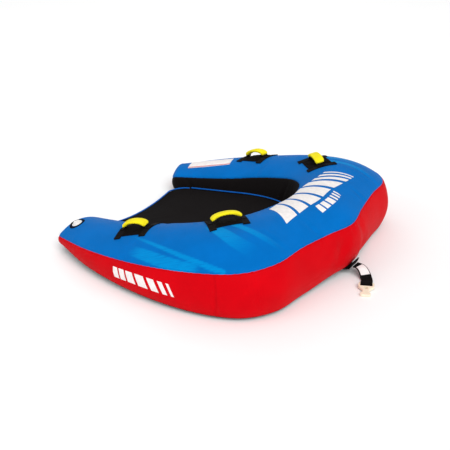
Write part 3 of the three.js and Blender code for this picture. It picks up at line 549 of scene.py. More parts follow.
def cover_material(name, color, stitch_color, printed=None, roughness=0.5):
    """Printed polyester of the cover: fine weave with painted shade between threads, faint mottling, stitches
    by the seams and wear there.
    """
    look = Nodes(name, roughness, Sheen_Weight=0.01, Sheen_Roughness=0.5, Specular_IOR_Level=0.02)
    uv = look.place("UV")
    edge = look.field("edge")
    along = look.add("SeparateXYZ", Vector=uv).outputs["X"]
    mottle = look.noise(7.0, 4.0, 0.6)
    fibre = look.noise(900.0, 2.0, 0.6, uv)
    base = look.mottle(mottle, 0.3, 0.7, color, 0.93, 1.06)
    if printed:
        streaks = look.noise(16.0, 5.0, 0.65, uv, (1.0, 14.0, 1.0))
        strength = look.times(look.field("print"), look.ramp(streaks, 0.22, 0.55))
        base = look.mix(strength, base, printed)
    base = look.mix(look.times(look.ramp(fibre, 0.35, 0.75), 0.12), base, shade(color, 1.35))
    threads = weave(look, THREAD_PITCH, uv)
    # Painted shade: the gaps between the threads are darkened in the colour, standing in for the shading of
    # the weave's relief.
    thread_gap_shade = look.times(look.ramp(threads, 0.35, 0.05), 0.22)
    base = look.mix(thread_gap_shade, base, shade(color, 0.55))
    worn = look.times(look.ramp(edge, 0.010, 0.001), look.ramp(look.noise(60.0, 4.0), 0.4, 0.8))
    base = look.mix(look.times(worn, 0.30), base, shade(color, 0.45))
    base = look.mix(look.times(look.field("seam"), 0.55), base, shade(color, 0.25))
    stitches = stitch_row(look, along, edge, SEAM_STITCH_INSET)
    look.color(look.mix(stitches, base, stitch_color))
    look.uneven(mottle, 0.16, roughness - 0.08)
    look.bump(look.noise(38.0, 5.0, 0.6), 0.10, 0.004)
    look.bump(threads, 0.4, THREAD_PITCH / 3)
    look.bump(stitches, 0.6, 0.0006)
    return look.material


def webbing_material(name, color):
    """Flat woven webbing with ribs along it, a plain selvedge and a row of stitches at each side."""
    look = Nodes(name, 0.72, Sheen_Weight=0.01, Sheen_Roughness=0.4, Specular_IOR_Level=0.03)
    uv = look.place("UV")
    edge = look.field("edge")
    along = look.add("SeparateXYZ", Vector=uv).outputs["X"]
    ribs = look.ribs(0.0021, "Y", uv)
    picks = look.ribs(0.0013, "X", uv)
    dust = look.noise(140.0, 4.0, 0.6)
    base = look.mottle(dust, 0.35, 0.75, color, 0.75, 1.7)
    base = look.mix(look.times(ribs, 0.3), base, shade(color, 0.45))
    stitches = stitch_row(look, along, edge, 0.0035)
    look.color(look.mix(stitches, base, shade(color, 3.2)))
    look.uneven(dust, 0.2, 0.6)
    look.bump(look.times(ribs, picks), 0.5, 0.0007)
    look.bump(stitches, 0.7, 0.0006)
    return look.material


def knit_material(name, color, roughness, grain, sheen, bright, strength=0.25):
    """Knitted or foam-backed cloth on padded pieces, in the piece's own space."""
    look = Nodes(name, roughness, Sheen_Weight=sheen, Sheen_Roughness=0.45, Specular_IOR_Level=0.03)
    blotch = look.noise(24.0, 4.0, 0.6)
    fine = look.noise(1 / grain, 3.0, 0.6)
    base = look.mottle(blotch, 0.3, 0.7, color, 0.88, 1.08)
    base = look.mix(look.times(look.ramp(fine, 0.45, 0.8), 0.35), base, shade(color, bright))
    cells = look.add("TexVoronoi", Vector=look.place(), Scale=1 / grain).outputs["Distance"]
    # Painted shade: colour darker towards the borders of the knit's cells, standing in for the shading of
    # their relief.
    look.color(look.mix(look.times(look.ramp(cells, 0.15, 0.6), 0.35), base, shade(color, 0.70)))
    look.uneven(blotch, 0.18, roughness - 0.09)
    look.bump(look.noise(70.0, 4.0, 0.55), 0.18, 0.003)
    look.bump(cells, strength, grain / 2)
    return look.material


def moulded_material(name, color, roughness=0.38):
    """Injection-moulded plastic: faint flow marks, fine texture and scuffs."""
    look = Nodes(name, roughness)
    look.shader.inputs["Subsurface Weight"].default_value = 0.04
    flow = look.noise(30.0, 3.0, 0.5, stretch=(1, 1, 5))
    scuff = look.ramp(look.noise(240.0, 5.0, 0.7), 0.58, 0.75)
    base = look.mottle(flow, 0.3, 0.7, color, 0.94, 1.03)
    look.color(look.mix(look.times(scuff, 0.2), base, shade(color, 0.7)))
    look.uneven(scuff, 0.25, roughness - 0.03)
    look.bump(look.noise(1500.0, 2.0, 0.5), 0.12, 0.0004)
    return look.material


def metal_material(name, color):
    """Plated zinc with fine scratches."""
    look = Nodes(name, 0.3, 1.0)
    scratches = look.noise(400.0, 4.0, 0.7, stretch=(1, 12, 1))
    look.color(look.mottle(scratches, 0.35, 0.7, color, 0.8, 1.1))
    look.uneven(scratches, 0.25, 0.2)
    look.bump(scratches, 0.15, 0.0003)
    return look.material


def label_material(name, strip=None):
    """Blank white printed vinyl, with a coloured strip along one side where asked."""
    look = Nodes(name, 0.45)
    uv = look.place("UV")
    grime = look.noise(60.0, 4.0, 0.6)
    base = look.mottle(grime, 0.3, 0.75, PRINT_WHITE, 1.04, 0.9)
    if strip:
        across = look.add("SeparateXYZ", Vector=uv).outputs["Y"]
        above = look.math("GREATER_THAN", across, strip[0])
        inside = look.times(above, look.math("LESS_THAN", across, strip[1]))
        base = look.mix(inside, base, shade(RED, 0.9))
    look.color(base)
    look.uneven(grime, 0.2, 0.35)
    look.bump(look.noise(90.0, 3.0, 0.5), 0.15, 0.001)
    return look.material


def floor_material():
    look = Nodes("studio_floor", 0.85)
    patch = look.noise(0.8, 3.0, 0.5)
    look.color(look.mix(look.ramp(patch, 0.2, 0.8), (0.93, 0.93, 0.93), (0.95, 0.95, 0.95)))
    return look.material


# ---------------------------------------------------------------- cover

GRID_STEPS = 640
TAIL_STEPS = 16
PANEL_COLUMNS = {"top": 72, "outer": 46, "bottom": 40, "inner": 46}
PANEL_SEEDS = {"top": 11, "outer": 23, "bottom": 37, "inner": 41}
GROOVE_DEPTH = 0.0026
GROOVE_WIDTH = 0.0065
PUCKER_DEPTH = 0.0013
PUCKER_REACH = 0.017
SWELL_DEPTH = 0.0016

# Creases: panel, u, share, depth, half width and half length in metres, lean
CREASES = [
    ("outer", 0.222, 0.72, 0.0022, 0.009, 0.050, 0.05),
    ("outer", 0.459, 0.40, 0.0075, 0.032, 0.046, -0.35),
    ("outer", 0.530, 0.21, 0.0060, 0.026, 0.040, 0.30),
    ("outer", 0.541, 0.70, 0.0075, 0.032, 0.046, 0.35),
    ("outer", 0.500, 0.86, 0.0050, 0.050, 0.022, 0.0),
]
PAIRED_CREASES = [  # these have a mirrored twin on the other side
    ("outer", 0.272, 0.35, 0.0030, 0.010, 0.070, 0.10),
    ("top", 0.330, 0.80, 0.0022, 0.012, 0.070, 0.25),
    ("top", 0.415, 0.90, 0.0022, 0.012, 0.050, 0.2),
    ("top", 0.175, 0.12, 0.0022, 0.014, 0.060, 0.3),
    ("inner", 0.30, 0.55, 0.0040, 0.012, 0.080, 0.5),
    ("inner", 0.38, 0.45, 0.0036, 0.010, 0.070, -0.3),
]
for panel, u, *rest, lean in PAIRED_CREASES:
    CREASES += [(panel, u, *rest, lean), (panel, 1 - u, *rest, -lean)]

# Upright seams of the outer wall, as places round the tube
WALL_SEAMS = (0.2215, 0.7785)
WALL_SEAM_WIDTH = 0.0022
WALL_SEAM_DEPTH = 0.0016

# Light brush strokes printed on the deck: (u, share) points, half width at both ends, fade at both ends
STROKES = [
    ([(0.112, 0.66), (0.145, 0.74), (0.183, 0.85), (0.232, 0.985)], 0.004, 0.013, 0.35, 0.0),
    ([(0.118, 0.86), (0.145, 0.90), (0.172, 0.95), (0.205, 0.99)], 0.022, 0.030, 0.25, 0.1),
    ([(0.238, 0.42), (0.248, 0.53), (0.265, 0.71), (0.290, 0.88)], 0.020, 0.034, 0.1, 0.55),
    ([(0.276, 0.40), (0.286, 0.48), (0.304, 0.64), (0.321, 0.79), (0.341, 0.97)], 0.012, 0.017, 0.1, 0.65),
]


def panel_grid(name):
    """Points, normals, distance along and across, and distance to the nearest seam of one panel."""
    ends = TAIL_SHARE * np.linspace(0.995, 1 / TAIL_STEPS, TAIL_STEPS)
    places = np.concatenate([-ends, np.linspace(0, 1, GRID_STEPS), 1 + ends[::-1]])
    shares = np.linspace(0, 1, PANEL_COLUMNS[name])
    u, share = np.meshgrid(places, shares, indexing="ij")
    points, normals, _, _ = skin(u, share, name)
    inside = (places > -TAIL_SHARE * 0.9) & (places < 1 + TAIL_SHARE * 0.9)
    first, last = np.flatnonzero(inside)[[0, -1]]
    normals[:first] = normals[first]
    normals[last + 1:] = normals[last]
    along = np.repeat(lengths_along(points)[:, None], len(shares), 1)
    widths = np.linalg.norm(np.diff(points, axis=1), axis=-1)
    across = np.concatenate([np.zeros((len(places), 1)), np.cumsum(widths, 1)], 1)
    edge = np.minimum(across, across[:, -1:] - across)
    return u, share, points, normals, along, across, edge


def relief(name, points, normals, along, across, edge):
    """Height of the seam's groove, its puckers, and the broad unevenness and creases of the cloth."""
    seed = PANEL_SEEDS[name]
    lift = -GROOVE_DEPTH * np.exp(-((edge / GROOVE_WIDTH) ** 2))
    near_first = across < across[:, -1:] / 2
    puckers = np.where(near_first, wobble(along, 0.026, seed), wobble(along, 0.029, seed + 1))
    strength = 0.6 + 0.4 * wobble(along, 0.31, seed + 2)
    lift += PUCKER_DEPTH * strength * puckers * np.exp(-edge / PUCKER_REACH) * smooth_step(edge, 0.0, 0.004)
    swell = wobble(along + 0.5 * across, 0.34, seed + 3) + wobble(across - 0.3 * along, 0.22, seed + 4)
    lift += SWELL_DEPTH * 0.5 * swell * smooth_step(edge, 0.0, 0.05)
    for panel, u, share, depth, half_width, half_length, lean in CREASES:
        if panel == name:
            centre, _, way, down = skin(u, share, name)
            way, down = unit(way), unit(down)
            offset = points - centre
            s, t = offset @ way, offset @ down
            s = s - lean * t
            fold = np.exp(-((s / half_width) ** 2) - (t / half_length) ** 2)
            rise = 0.35 * np.exp(-(((np.abs(s) - 2 * half_width) / half_width) ** 2) - (t / half_length) ** 2)
            lift += depth * (rise - fold) * smooth_step(edge, 0.0, 0.012)
    return lift


def wall_seam_mask(u, along):
    """1 on the outer wall's upright seams, falling to 0 within a few millimetres of them."""
    lines = [np.interp(place, u[:, 0], along[:, 0]) for place in WALL_SEAMS]
    distance = np.min([np.abs(along - line) for line in lines], axis=0)
    return np.exp(-((distance / WALL_SEAM_WIDTH) ** 2))


def stroke_mask(points, spots, start_width, end_width, start_fade, end_fade):
    """1 inside a brush stroke along (u, share) spots on the deck and 0 outside, with faded ends."""
    spots = np.array(spots)
    share = np.linspace(0, 1, 60)
    line = catmull(spots, share)
    curve = panel_point(corners(line[:, 0]), "top", line[:, 1])
    near = np.full(points.shape[:2], 9.0)
    place = np.zeros(points.shape[:2])
    for step, spot in zip(share, curve):
        distance = np.linalg.norm(points - spot, axis=-1)
        closer = distance < near
        near[closer] = distance[closer]
        place[closer] = step
    width = start_width + (end_width - start_width) * place
    mask = smooth_step(width - near, -0.003, 0.003)
    if start_fade:
        mask *= smooth_step(place, 0, start_fade)
    if end_fade:
        mask *= 1 - smooth_step(place, 1 - end_fade, 1)
    return mask


COVER = {}  # finished outer surface of each panel: places, shares, points, normals


def on_cover(name, u, share, lift):
    """Points on a finished panel, creases and all, lifted off it."""
    places, shares, points, normals = COVER[name]
    row = np.clip(np.searchsorted(places, u) - 1, 0, len(places) - 2)
    column = np.clip(np.searchsorted(shares, share) - 1, 0, len(shares) - 2)
    r = ((u - places[row]) / (places[row + 1] - places[row]))[..., None]
    c = ((share - shares[column]) / (shares[column + 1] - shares[column]))[..., None]
    found = []
    for field in (points, normals):
        near = field[row, column] * (1 - c) + field[row, column + 1] * c
        far = field[row + 1, column] * (1 - c) + field[row + 1, column + 1] * c
        found.append(near * (1 - r) + far * r)
    return found[0] + unit(found[1]) * lift


def cover_piece(name, piece, material, replaced, slot):
    u, share, points, normals, along, across, edge = panel_grid(name)
    height = relief(name, points, normals, along, across, edge)
    fields = {"edge": edge.ravel()}
    if name == "outer":
        seams = wall_seam_mask(u, along)
        height -= WALL_SEAM_DEPTH * seams
        fields["seam"] = seams.ravel()
    raised = points + normals * height[..., None]
    raised[..., 2] = np.maximum(raised[..., 2], 0.0)
    COVER[name] = (u[:, 0], share[0], raised, normals)
    if name == "top":
        total = np.zeros(points.shape[:2])
        for spots, *widths in STROKES:
            for mirrored in (False, True):
                chosen = [(1 - a, b) if mirrored else (a, b) for a, b in spots]
                total = np.maximum(total, stroke_mask(points, chosen, *widths))
        fields["print"] = total.ravel()
    uv = np.stack([along, across], -1).reshape(-1, 2)
    faces = grid_faces(*points.shape[:2])[:, ::-1]
    made = new_piece(piece, raised.reshape(-1, 3), faces, material, uv, fields, "tube", replaced, slot)
    return thicken(made, 0.0016)


# Prints: the line nearer the first seam and the line nearer the second, as (u, share) points, and the
# blocks along them as start and end shares
DECK_PRINT = (
    "top",
    [(0.396, 0.17), (0.450, 0.03), (0.500, 0.005), (0.559, 0.05), (0.619, 0.25), (0.684, 0.48)],
    [(0.365, 0.69), (0.414, 0.58), (0.469, 0.49), (0.537, 0.48), (0.614, 0.66), (0.650, 0.73)],
    [(0.02, 0.16), (0.19, 0.31), (0.34, 0.46), (0.49, 0.61), (0.64, 0.72), (0.75, 0.79), (0.82, 0.85),
     (0.88, 0.90)],
    0.05,
)
SMALL_PRINT = (
    "top",
    [(0.462, 0.555), (0.500, 0.53), (0.552, 0.545)],
    [(0.456, 0.71), (0.495, 0.66), (0.544, 0.67)],
    [(0.00, 0.18), (0.24, 0.42), (0.48, 0.66), (0.72, 0.78), (0.84, 0.90), (0.95, 1.0)],
    0.06,
)
WALL_PRINT = (
    "outer",
    [(0.104, 0.24), (0.130, 0.26), (0.178, 0.33)],
    [(0.104, 0.62), (0.130, 0.60), (0.178, 0.64)],
    [(0.0, 0.14), (0.18, 0.32), (0.36, 0.50), (0.54, 0.66), (0.70, 0.78), (0.82, 0.87), (0.91, 0.94)],
    0.06,
)
PRINT_LIFT = 0.0005


def make_prints(material):
    printed_blocks("deck_print", *DECK_PRINT, material)
    printed_blocks("deck_small_print", *SMALL_PRINT, material)
    printed_blocks("wall_print", *WALL_PRINT, material)


def printed_blocks(name, panel, first_line, second_line, blocks, slant, material):
    """Row of slanted plain blocks printed between two lines on a panel, as thin film on the cloth."""
    points, faces = [], []
    rows, columns = 26, 26
    for start, end in blocks:
        place, across = np.meshgrid(np.linspace(start, end, rows), np.linspace(0, 1, columns), indexing="ij")
        place = np.clip(place + slant * (across - 0.5), 0, 1)
        share = across[..., None]
        spot = catmull(first_line, place) * (1 - share) + catmull(second_line, place) * share
        faces.append(grid_faces(rows, columns)[:, ::-1] + rows * columns * len(points))
        points.append(on_cover(panel, spot[..., 0], spot[..., 1], PRINT_LIFT).reshape(-1, 3))
    return new_piece(name, np.vstack(points), np.vstack(faces), material, slot="label_vinyl")


# ---------------------------------------------------------------- floor

FLOOR_DEPTH = 0.0182
PIPING_RADIUS = 0.003
SEAM_DROP = 0.0025  # how far the sewn edge lies below the full surface


def floor_height(x):
    share = (x - FLOOR_REAR_X) / (FLOOR_FRONT_X - FLOOR_REAR_X)
    return FLOOR_REAR_Z + (FLOOR_FRONT_Z - FLOOR_REAR_Z) * share


def wall_base(u):
    """Where the floor meets the cockpit wall of each cross section."""
    section = corners(u)
    shares = np.linspace(0, 1, 200)
    wall = panel_point({k: v[:, None] for k, v in section.items()}, "inner", shares[None])
    over = wall[..., 2] > floor_height(wall[..., 0])
    return wall[np.arange(len(u)), over.argmax(1)]


WALL_LINE = wall_base(np.linspace(0.5, 1.0, 200))


def floor_half_width(x):
    order = np.argsort(WALL_LINE[:, 0])
    width = np.interp(x, WALL_LINE[order, 0], WALL_LINE[order, 1])
    from_rear = np.clip(FLOOR_CORNER - (x - FLOOR_REAR_X), 0, FLOOR_CORNER)
    return width - FLOOR_WALL_GAP - (FLOOR_CORNER - np.sqrt(FLOOR_CORNER**2 - from_rear**2))


def floor_grid():
    """The floor's sagging surface, closer together at its rear edge."""
    rows, columns = 110, 72
    ease = np.linspace(0, 1, rows)
    x = FLOOR_REAR_X + (FLOOR_FRONT_X - FLOOR_REAR_X) * (0.35 * ease**2 + 0.65 * ease)
    across = np.sin(np.linspace(-np.pi / 2, np.pi / 2, columns)) * 0.4 + np.linspace(-1, 1, columns) * 0.6
    half = floor_half_width(x)
    height = floor_height(x)[:, None] - FLOOR_SAG * (1 - across[None] ** 2)
    return grid_of(x[:, None], half[:, None] * across[None], height)


def floor_cushion(material):
    """Foam under a tight cover: the edges are drawn to a seam by the piping, and the middle stands full."""
    grid = floor_grid()
    rows, columns = grid.shape[:2]
    ends = np.minimum(np.arange(rows), rows - 1 - np.arange(rows))[:, None] / 9
    sides = np.minimum(np.arange(columns), columns - 1 - np.arange(columns))[None] / 6
    fullness = np.sqrt(1 - (1 - np.clip(np.minimum(ends, sides), 0, 1)) ** 2)
    upper, lower = grid.copy(), grid.copy()
    upper[..., 2] -= SEAM_DROP * (1 - fullness)
    lower[..., 2] -= 2 * SEAM_DROP + (FLOOR_DEPTH - 2 * SEAM_DROP) * fullness
    x, y = grid[..., 0], grid[..., 1]
    folds = wobble(y + 0.25 * x, 0.13, 5) * 0.6 + wobble(x - 0.3 * y, 0.17, 6) * 0.5
    tension = wobble(x * 0.9 + np.abs(y) * 0.8, 0.045, 7) * np.exp(-np.minimum(sides, ends) / 1.6)
    upper[..., 2] += (0.0014 * folds + 0.0014 * tension) * fullness
    return new_piece("floor_cushion", *slab_body(upper, lower), material,
                     replaced=("floor_cover", "floor_pad", "floor_sling"), slot="floor_fabric")


def piping_cord(name, path, material, node):
    points, faces, uv = sweep(path, PIPING_RADIUS)
    new_piece(name, points, faces, material, uv, replaced=(node,), slot="blue_piping")


def floor_piping(material):
    """Round blue piping at the foot of the cockpit wall and round the floor's rear edge."""
    u = 0.035 + 0.93 * np.linspace(0, 1, 260)
    base = wall_base(u)
    inward = PIPING_RADIUS + FLOOR_WALL_GAP
    path = base - corners(u)["outward"] * inward
    path[:, 2] = floor_height(base[:, 0]) + PIPING_RADIUS + 0.001
    piping_cord("floor_piping_wall_cord", path, material, "floor_piping_wall")
    reach = PIPING_RADIUS - 0.0004
    turn = np.linspace(0, np.pi / 2, 24)
    centre_x = FLOOR_REAR_X + FLOOR_CORNER
    x = centre_x - FLOOR_CORNER * np.sin(turn)
    half = floor_half_width(x)
    corner = np.stack([x - reach * np.sin(turn), half + reach * np.cos(turn), floor_height(x)], -1)
    inner = corner[-1, 1]
    y = np.linspace(inner, -inner, 60)[1:-1]
    sag = FLOOR_SAG * (1 - np.clip(y / half[-1], -1, 1) ** 2)
    rear = np.stack([np.full_like(y, FLOOR_REAR_X - reach), y, FLOOR_REAR_Z - sag], -1)
    path = np.vstack([corner, rear, (corner * (1, -1, 1))[::-1]])
    path[:, 2] -= 0.001
    piping_cord("floor_piping_rear_cord", path, material, "floor_piping_rear")


# ---------------------------------------------------------------- soft pieces by cloth simulation

CLOTH_FRAMES = 12
CLOTH_SETTINGS = {
    "quality": 5, "mass": 0.2, "tension_stiffness": 12, "compression_stiffness": 12,
    "shear_stiffness": 4, "bending_stiffness": 0.03, "use_pressure": True, "vertex_group_mass": "held",
}
WAITING = []  # pieces that settle together: piece, farthest move, cloth modifier


def settle_later(piece, farthest, pressure, growth, held):
    """Puts a piece on the list for the simulation; held says which of its points stay put."""
    group = piece.vertex_groups.new(name="held")
    group.add([int(i) for i in np.flatnonzero(held)], 1.0, "REPLACE")
    cloth = piece.modifiers.new("cloth", "CLOTH")
    settings = cloth.settings
    for key, value in CLOTH_SETTINGS.items():
        setattr(settings, key, value)
    settings.uniform_pressure_force = pressure
    settings.shrink_min = -growth
    settings.effector_weights.gravity = 0
    cloth.point_cache.frame_start = 1
    cloth.point_cache.frame_end = CLOTH_FRAMES
    WAITING.append((piece, farthest, cloth))


def settle_all():
    """Runs the cloth of every waiting piece at once and keeps the settled shapes as plain meshes."""
    scene = bpy.context.scene
    for step in range(1, CLOTH_FRAMES + 1):
        scene.frame_set(step)
    shapes = bpy.context.evaluated_depsgraph_get()
    for piece, farthest, cloth in WAITING:
        rest = np.array([v.co for v in piece.data.vertices])
        settled = piece.evaluated_get(shapes).to_mesh()
        moved = np.array([v.co for v in settled.vertices])[: len(rest)] - rest
        piece.evaluated_get(shapes).to_mesh_clear()
        reach = np.linalg.norm(moved, axis=1, keepdims=True)
        moved *= np.minimum(1, farthest / np.maximum(reach, 1e-9))
        piece.modifiers.remove(cloth)
        piece.data.vertices.foreach_set("co", (rest + moved).astype(np.float32).ravel())
        piece.data.update()
    WAITING.clear()
    scene.frame_set(1)


# ---------------------------------------------------------------- handles

HANDLE_PLACES = {"rear": (0.765, 0.5, 14.0, 0.104), "front": (0.442, 0.34, 12.0, 0.118)}
HANDLE_LIFT = 0.0016
ARCH_FOOT = 0.012
ARCH_HEIGHT = 0.020
SLEEVE_WIDTH = 0.042
SLEEVE_END_WIDTH = 0.035
SLEEVE_THICKNESS = 0.013
SLEEVE_START = math.radians(6)
WEBBING_WIDTH = 0.034
WEBBING_THICKNESS = 0.0024
PAD_END_GAP = 0.0056
PAD_WIDTH = 0.112
PAD_THICKNESS = 0.0045
STRAP_LENGTH = 0.028
STRAP_WIDTH = 0.138


def arch_point(angle, span):
    """The arch's middle line and the direction away from the pad, in the handle's own axes."""
    cosine, sine = np.cos(angle), np.sin(angle)
    half = span / 2
    nothing = np.zeros_like(angle)
    point = np.stack([-half * cosine, nothing, ARCH_FOOT + ARCH_HEIGHT * sine], -1)
    return point, unit(np.stack([-cosine * ARCH_HEIGHT, nothing, sine * half], -1))


def pad_piece(name, frame_on_skin, span, material, replaced):
    """Thin foam pad with a sewn border, crowned in the middle."""
    rows, columns = 46, 50
    a, b = plate_places(span - 2 * PAD_END_GAP, rows, PAD_WIDTH, columns)
    border = np.minimum(a.max() - np.abs(a), b.max() - np.abs(b))
    crown = 0.30 + 0.70 * smooth_step(border, 0.0, 0.009)
    trench = 0.25 * np.exp(-(((border - 0.010) / 0.0022) ** 2))
    upper = frame_on_skin.on_skin(a, b, HANDLE_LIFT + PAD_THICKNESS * (crown - trench))
    lower = frame_on_skin.on_skin(a, b, HANDLE_LIFT * 0.5)
    piece = slab_piece(name, upper, lower, material, bevel=0, replaced=replaced, slot="black_fabric")
    held = np.concatenate([(border < 0.011).ravel(), np.ones(rows * columns, bool)])
    settle_later(piece, 0.0022, 1.5, 0.05, held)
    return piece


def strap_piece(name, frame_on_skin, offset, material, replaced):
    """Webbing strip sewn across the cover at one end of a handle, its ends turned under."""
    a, b = plate_places(STRAP_LENGTH, 12, STRAP_WIDTH, 56)
    a = offset + a
    fold = 0.0009 * smooth_step(np.abs(b), STRAP_WIDTH / 2 - 0.012, STRAP_WIDTH / 2 - 0.010)
    wave = 0.0004 * wobble(b, 0.03, int(1e4 * abs(offset)) + 3)
    upper = frame_on_skin.on_skin(a, b, HANDLE_LIFT + 0.0020 + fold + wave)
    lower = frame_on_skin.on_skin(a, b, HANDLE_LIFT * 0.4)
    turned_grid = np.swapaxes(upper, 0, 1), np.swapaxes(lower, 0, 1)
    return slab_piece(name, *turned_grid, material, bevel=0.0007, replaced=replaced, slot="black_webbing")


def grip_grid(span):
    """Rings of the padded sleeve: wide and full, gathered flat onto the webbing at both ends."""
    rings, sides = 72, 56
    angle = np.linspace(SLEEVE_START - 0.03, np.pi - SLEEVE_START + 0.03, rings)
    point, out = arch_point(angle, span)
    from_end = np.minimum(np.arange(rings), rings - 1 - np.arange(rings)) / (rings - 1)
    full = np.sqrt(np.clip(1 - (1 - np.clip(from_end / 0.075, 0, 1)) ** 2, 0, 1))
    half_width = (SLEEVE_END_WIDTH + (SLEEVE_WIDTH - SLEEVE_END_WIDTH) * smooth_step(from_end, 0, 0.12)) / 2
    half_thick = (0.0042 + (SLEEVE_THICKNESS - 0.0042) * full) / 2
    turn = 2 * np.pi * (np.arange(sides) + 0.5) / sides
    squareness = 0.62
    c, s = np.cos(turn), np.sin(turn)
    across = np.sign(c) * np.abs(c) ** squareness
    height = np.sign(s) * np.abs(s) ** squareness
    grid = point[:, None] + out[:, None] * (half_thick[:, None] * height[None])[..., None]
    grid[..., 1] = half_width[:, None] * across[None]
    return grid


def grip_piece(name, to_frame, span, material, body, replaced):
    grid = grip_grid(span)
    rings, sides = grid.shape[:2]
    share = np.linspace(0, 1, rings)[:, None]
    inner = np.sin(2 * np.pi * (np.arange(sides) + 0.5) / sides)[None] < -0.3
    gather = np.where(inner, 0.0007 * wobble(share * span * 1.3, 0.011, 91), 0.0)
    grid[..., 2] += gather * smooth_step(share, 0.05, 0.15) * smooth_step(1 - share, 0.05, 0.15)
    points = to_frame(grid.reshape(-1, 3))
    faces = [list(f) for f in grid_faces(rings, sides, round_columns=True)]
    faces.append(list(range(sides - 1, -1, -1)))
    faces.append([(rings - 1) * sides + k for k in range(sides)])
    first = points[faces[0]]
    normal = np.cross(first[1] - first[0], first[2] - first[0])
    if np.dot(normal, first[0] - points.mean(0)) <= 0:
        faces = [face[::-1] for face in faces]
    piece = new_piece(name, points, faces, material, body=body, replaced=replaced, slot="yellow_fabric")
    held = np.zeros(rings * sides, bool)
    held[: 2 * sides] = True
    held[-2 * sides:] = True
    settle_later(piece, 0.0018, 2.5, 0.045, held)
    return piece


def webbing_line(span):
    """Side view of the handle's webbing: flat on one strap, up, over the arch and down on the other."""
    angle = np.linspace(math.radians(4), math.radians(176), 60)
    arch, out = arch_point(angle, span)
    half = span / 2
    base = HANDLE_LIFT + 0.0018
    turn = np.linspace(0, np.pi / 2, 7)[:-1]
    radius = 0.0045
    foot = [(-half - radius - 0.016, base), (-half - radius - 0.008, base)]
    foot += [(-half - radius * (1 - math.sin(t)), base + radius * (1 - math.cos(t))) for t in turn]
    foot += [(-half + 0.0002, base + 0.0075)]
    foot = np.array([(x, 0.0, z) for x, z in foot])
    return np.vstack([foot, arch, (foot * (-1, 1, 1))[::-1]])


def webbing_piece(name, to_frame, span, material, replaced):
    """The handle's webbing bends where it is sewn down, so it follows the tube there and the grip above."""
    line = webbing_line(span)
    ahead = unit(np.gradient(line, axis=0))
    normal = np.stack([-ahead[:, 2], np.zeros(len(line)), ahead[:, 0]], -1)
    across = WEBBING_WIDTH * np.linspace(-0.5, 0.5, 9)
    faces = []
    for side in (0.5, -0.5):
        grid = np.repeat((line + normal * WEBBING_THICKNESS * side)[:, None], len(across), 1)
        grid[..., 1] = across[None]
        faces.append(to_frame(grid))
    piece = slab_piece(name, faces[0], faces[1], material, bevel=0, body=None, replaced=replaced,
                       slot="black_webbing")
    low, high = to_frame(np.array([[0, 0, HANDLE_LIFT + 0.003], [0, 0, ARCH_FOOT + 0.001]])) + FRAME_SHIFT
    tuple(low)
    tuple(high)
    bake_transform(piece)
    return piece


def make_handle(end, side, label, looks):
    place, share, turn, span = HANDLE_PLACES[end]
    name = f"handle_{end}_{label}"
    on_skin = SkinFrame(0.5 + side * place / 2, share, turn)
    to_frame = on_skin.straight(span, HANDLE_LIFT)
    pad_piece(f"{name}_cushion", on_skin, span, looks["pad"], (f"{name}_pad",))
    for way, where in ((1, "front"), (-1, "rear")):
        offset = way * (span / 2 - 0.005 + STRAP_LENGTH / 2)
        strap_piece(f"{name}_strip_{where}", on_skin, offset, looks["webbing"], (f"{name}_strap_{where}",))
    grip_piece(f"{name}_sleeve", to_frame, span, looks["yellow"], name, (f"{name}_grip",))
    webbing_piece(f"{name}_band", to_frame, span, looks["webbing"], (f"{name}_webbing",))


# ---------------------------------------------------------------- valve

VALVE_PLACE = 0.985
VALVE_SHARE = 0.63
VALVE_RING_INNER = 0.025
VALVE_RING_OUTER = 0.036
VALVE_SEAT = 0.002


def lathe_piece(name, profile, to_frame, material, body, node, slot="white_plastic", ribs=0, rib_depth=0.0):
    """Turned piece on the valve's axis, with finger ribs round its outside where asked."""
    points, faces = turned(profile, 96)
    if ribs:
        angle = np.arctan2(points[:, 1], points[:, 0])
        radius = np.hypot(points[:, 0], points[:, 1])
        outer = smooth_step(radius, 0.93 * radius.max(), radius.max())
        points[:, :2] *= (1 - outer * rib_depth / radius.max() * (0.5 + 0.5 * np.cos(ribs * angle)))[:, None]
    piece = new_piece(name, to_frame(points), faces, material, body=body, replaced=(node,), slot=slot)
    return bevelled(piece, 0.0005, 3, 40)


def valve_surround(on_skin, material):
    """Padded black ring sewn on the cover round the valve; it follows the round end of the leg."""
    rows, columns = 14, 96
    radius = np.linspace(VALVE_RING_INNER, VALVE_RING_OUTER, rows)
    angle = 2 * np.pi * np.arange(columns) / columns
    r, turn = np.meshgrid(radius, angle, indexing="ij")
    share = (r - VALVE_RING_INNER) / (VALVE_RING_OUTER - VALVE_RING_INNER)
    lift = 0.0012 + 0.0020 * np.sqrt(np.clip(1 - (2 * share - 1) ** 2, 0, 1))
    lift += 0.0003 * wobble(turn * 0.03, 0.02, 71) * share
    upper = on_skin.on_skin(r * np.cos(turn), r * np.sin(turn), lift)
    lower = on_skin.on_skin(r * np.cos(turn), r * np.sin(turn), 0.0002)
    points = np.vstack([upper.reshape(-1, 3), lower[::-1].reshape(-1, 3)])
    faces = grid_faces(2 * rows, columns, True, True)
    edge = np.tile(np.minimum(share, 1 - share) * (VALVE_RING_OUTER - VALVE_RING_INNER), (2, 1))
    uv = np.stack([np.tile(turn * r, (2, 1)), edge], -1).reshape(-1, 2)
    new_piece("valve_surround", points, face_out(points, faces), material, uv, {"edge": edge.ravel()},
              "tube", ("valve_ring",), "black_webbing")


def valve_tongue(reach):
    """Flat strip with round ends that ties the cap to the insert, as a grid of upper points."""
    x = np.linspace(-reach, -0.0125, 14)
    half = 0.0045 * np.sqrt(np.clip(1 - np.clip((-x - reach + 0.004) / 0.004, 0, 1) ** 2, 0.05, 1))
    across = np.linspace(-1, 1, 9)
    return grid_of(x[:, None], half[:, None] * across[None], 0.0)


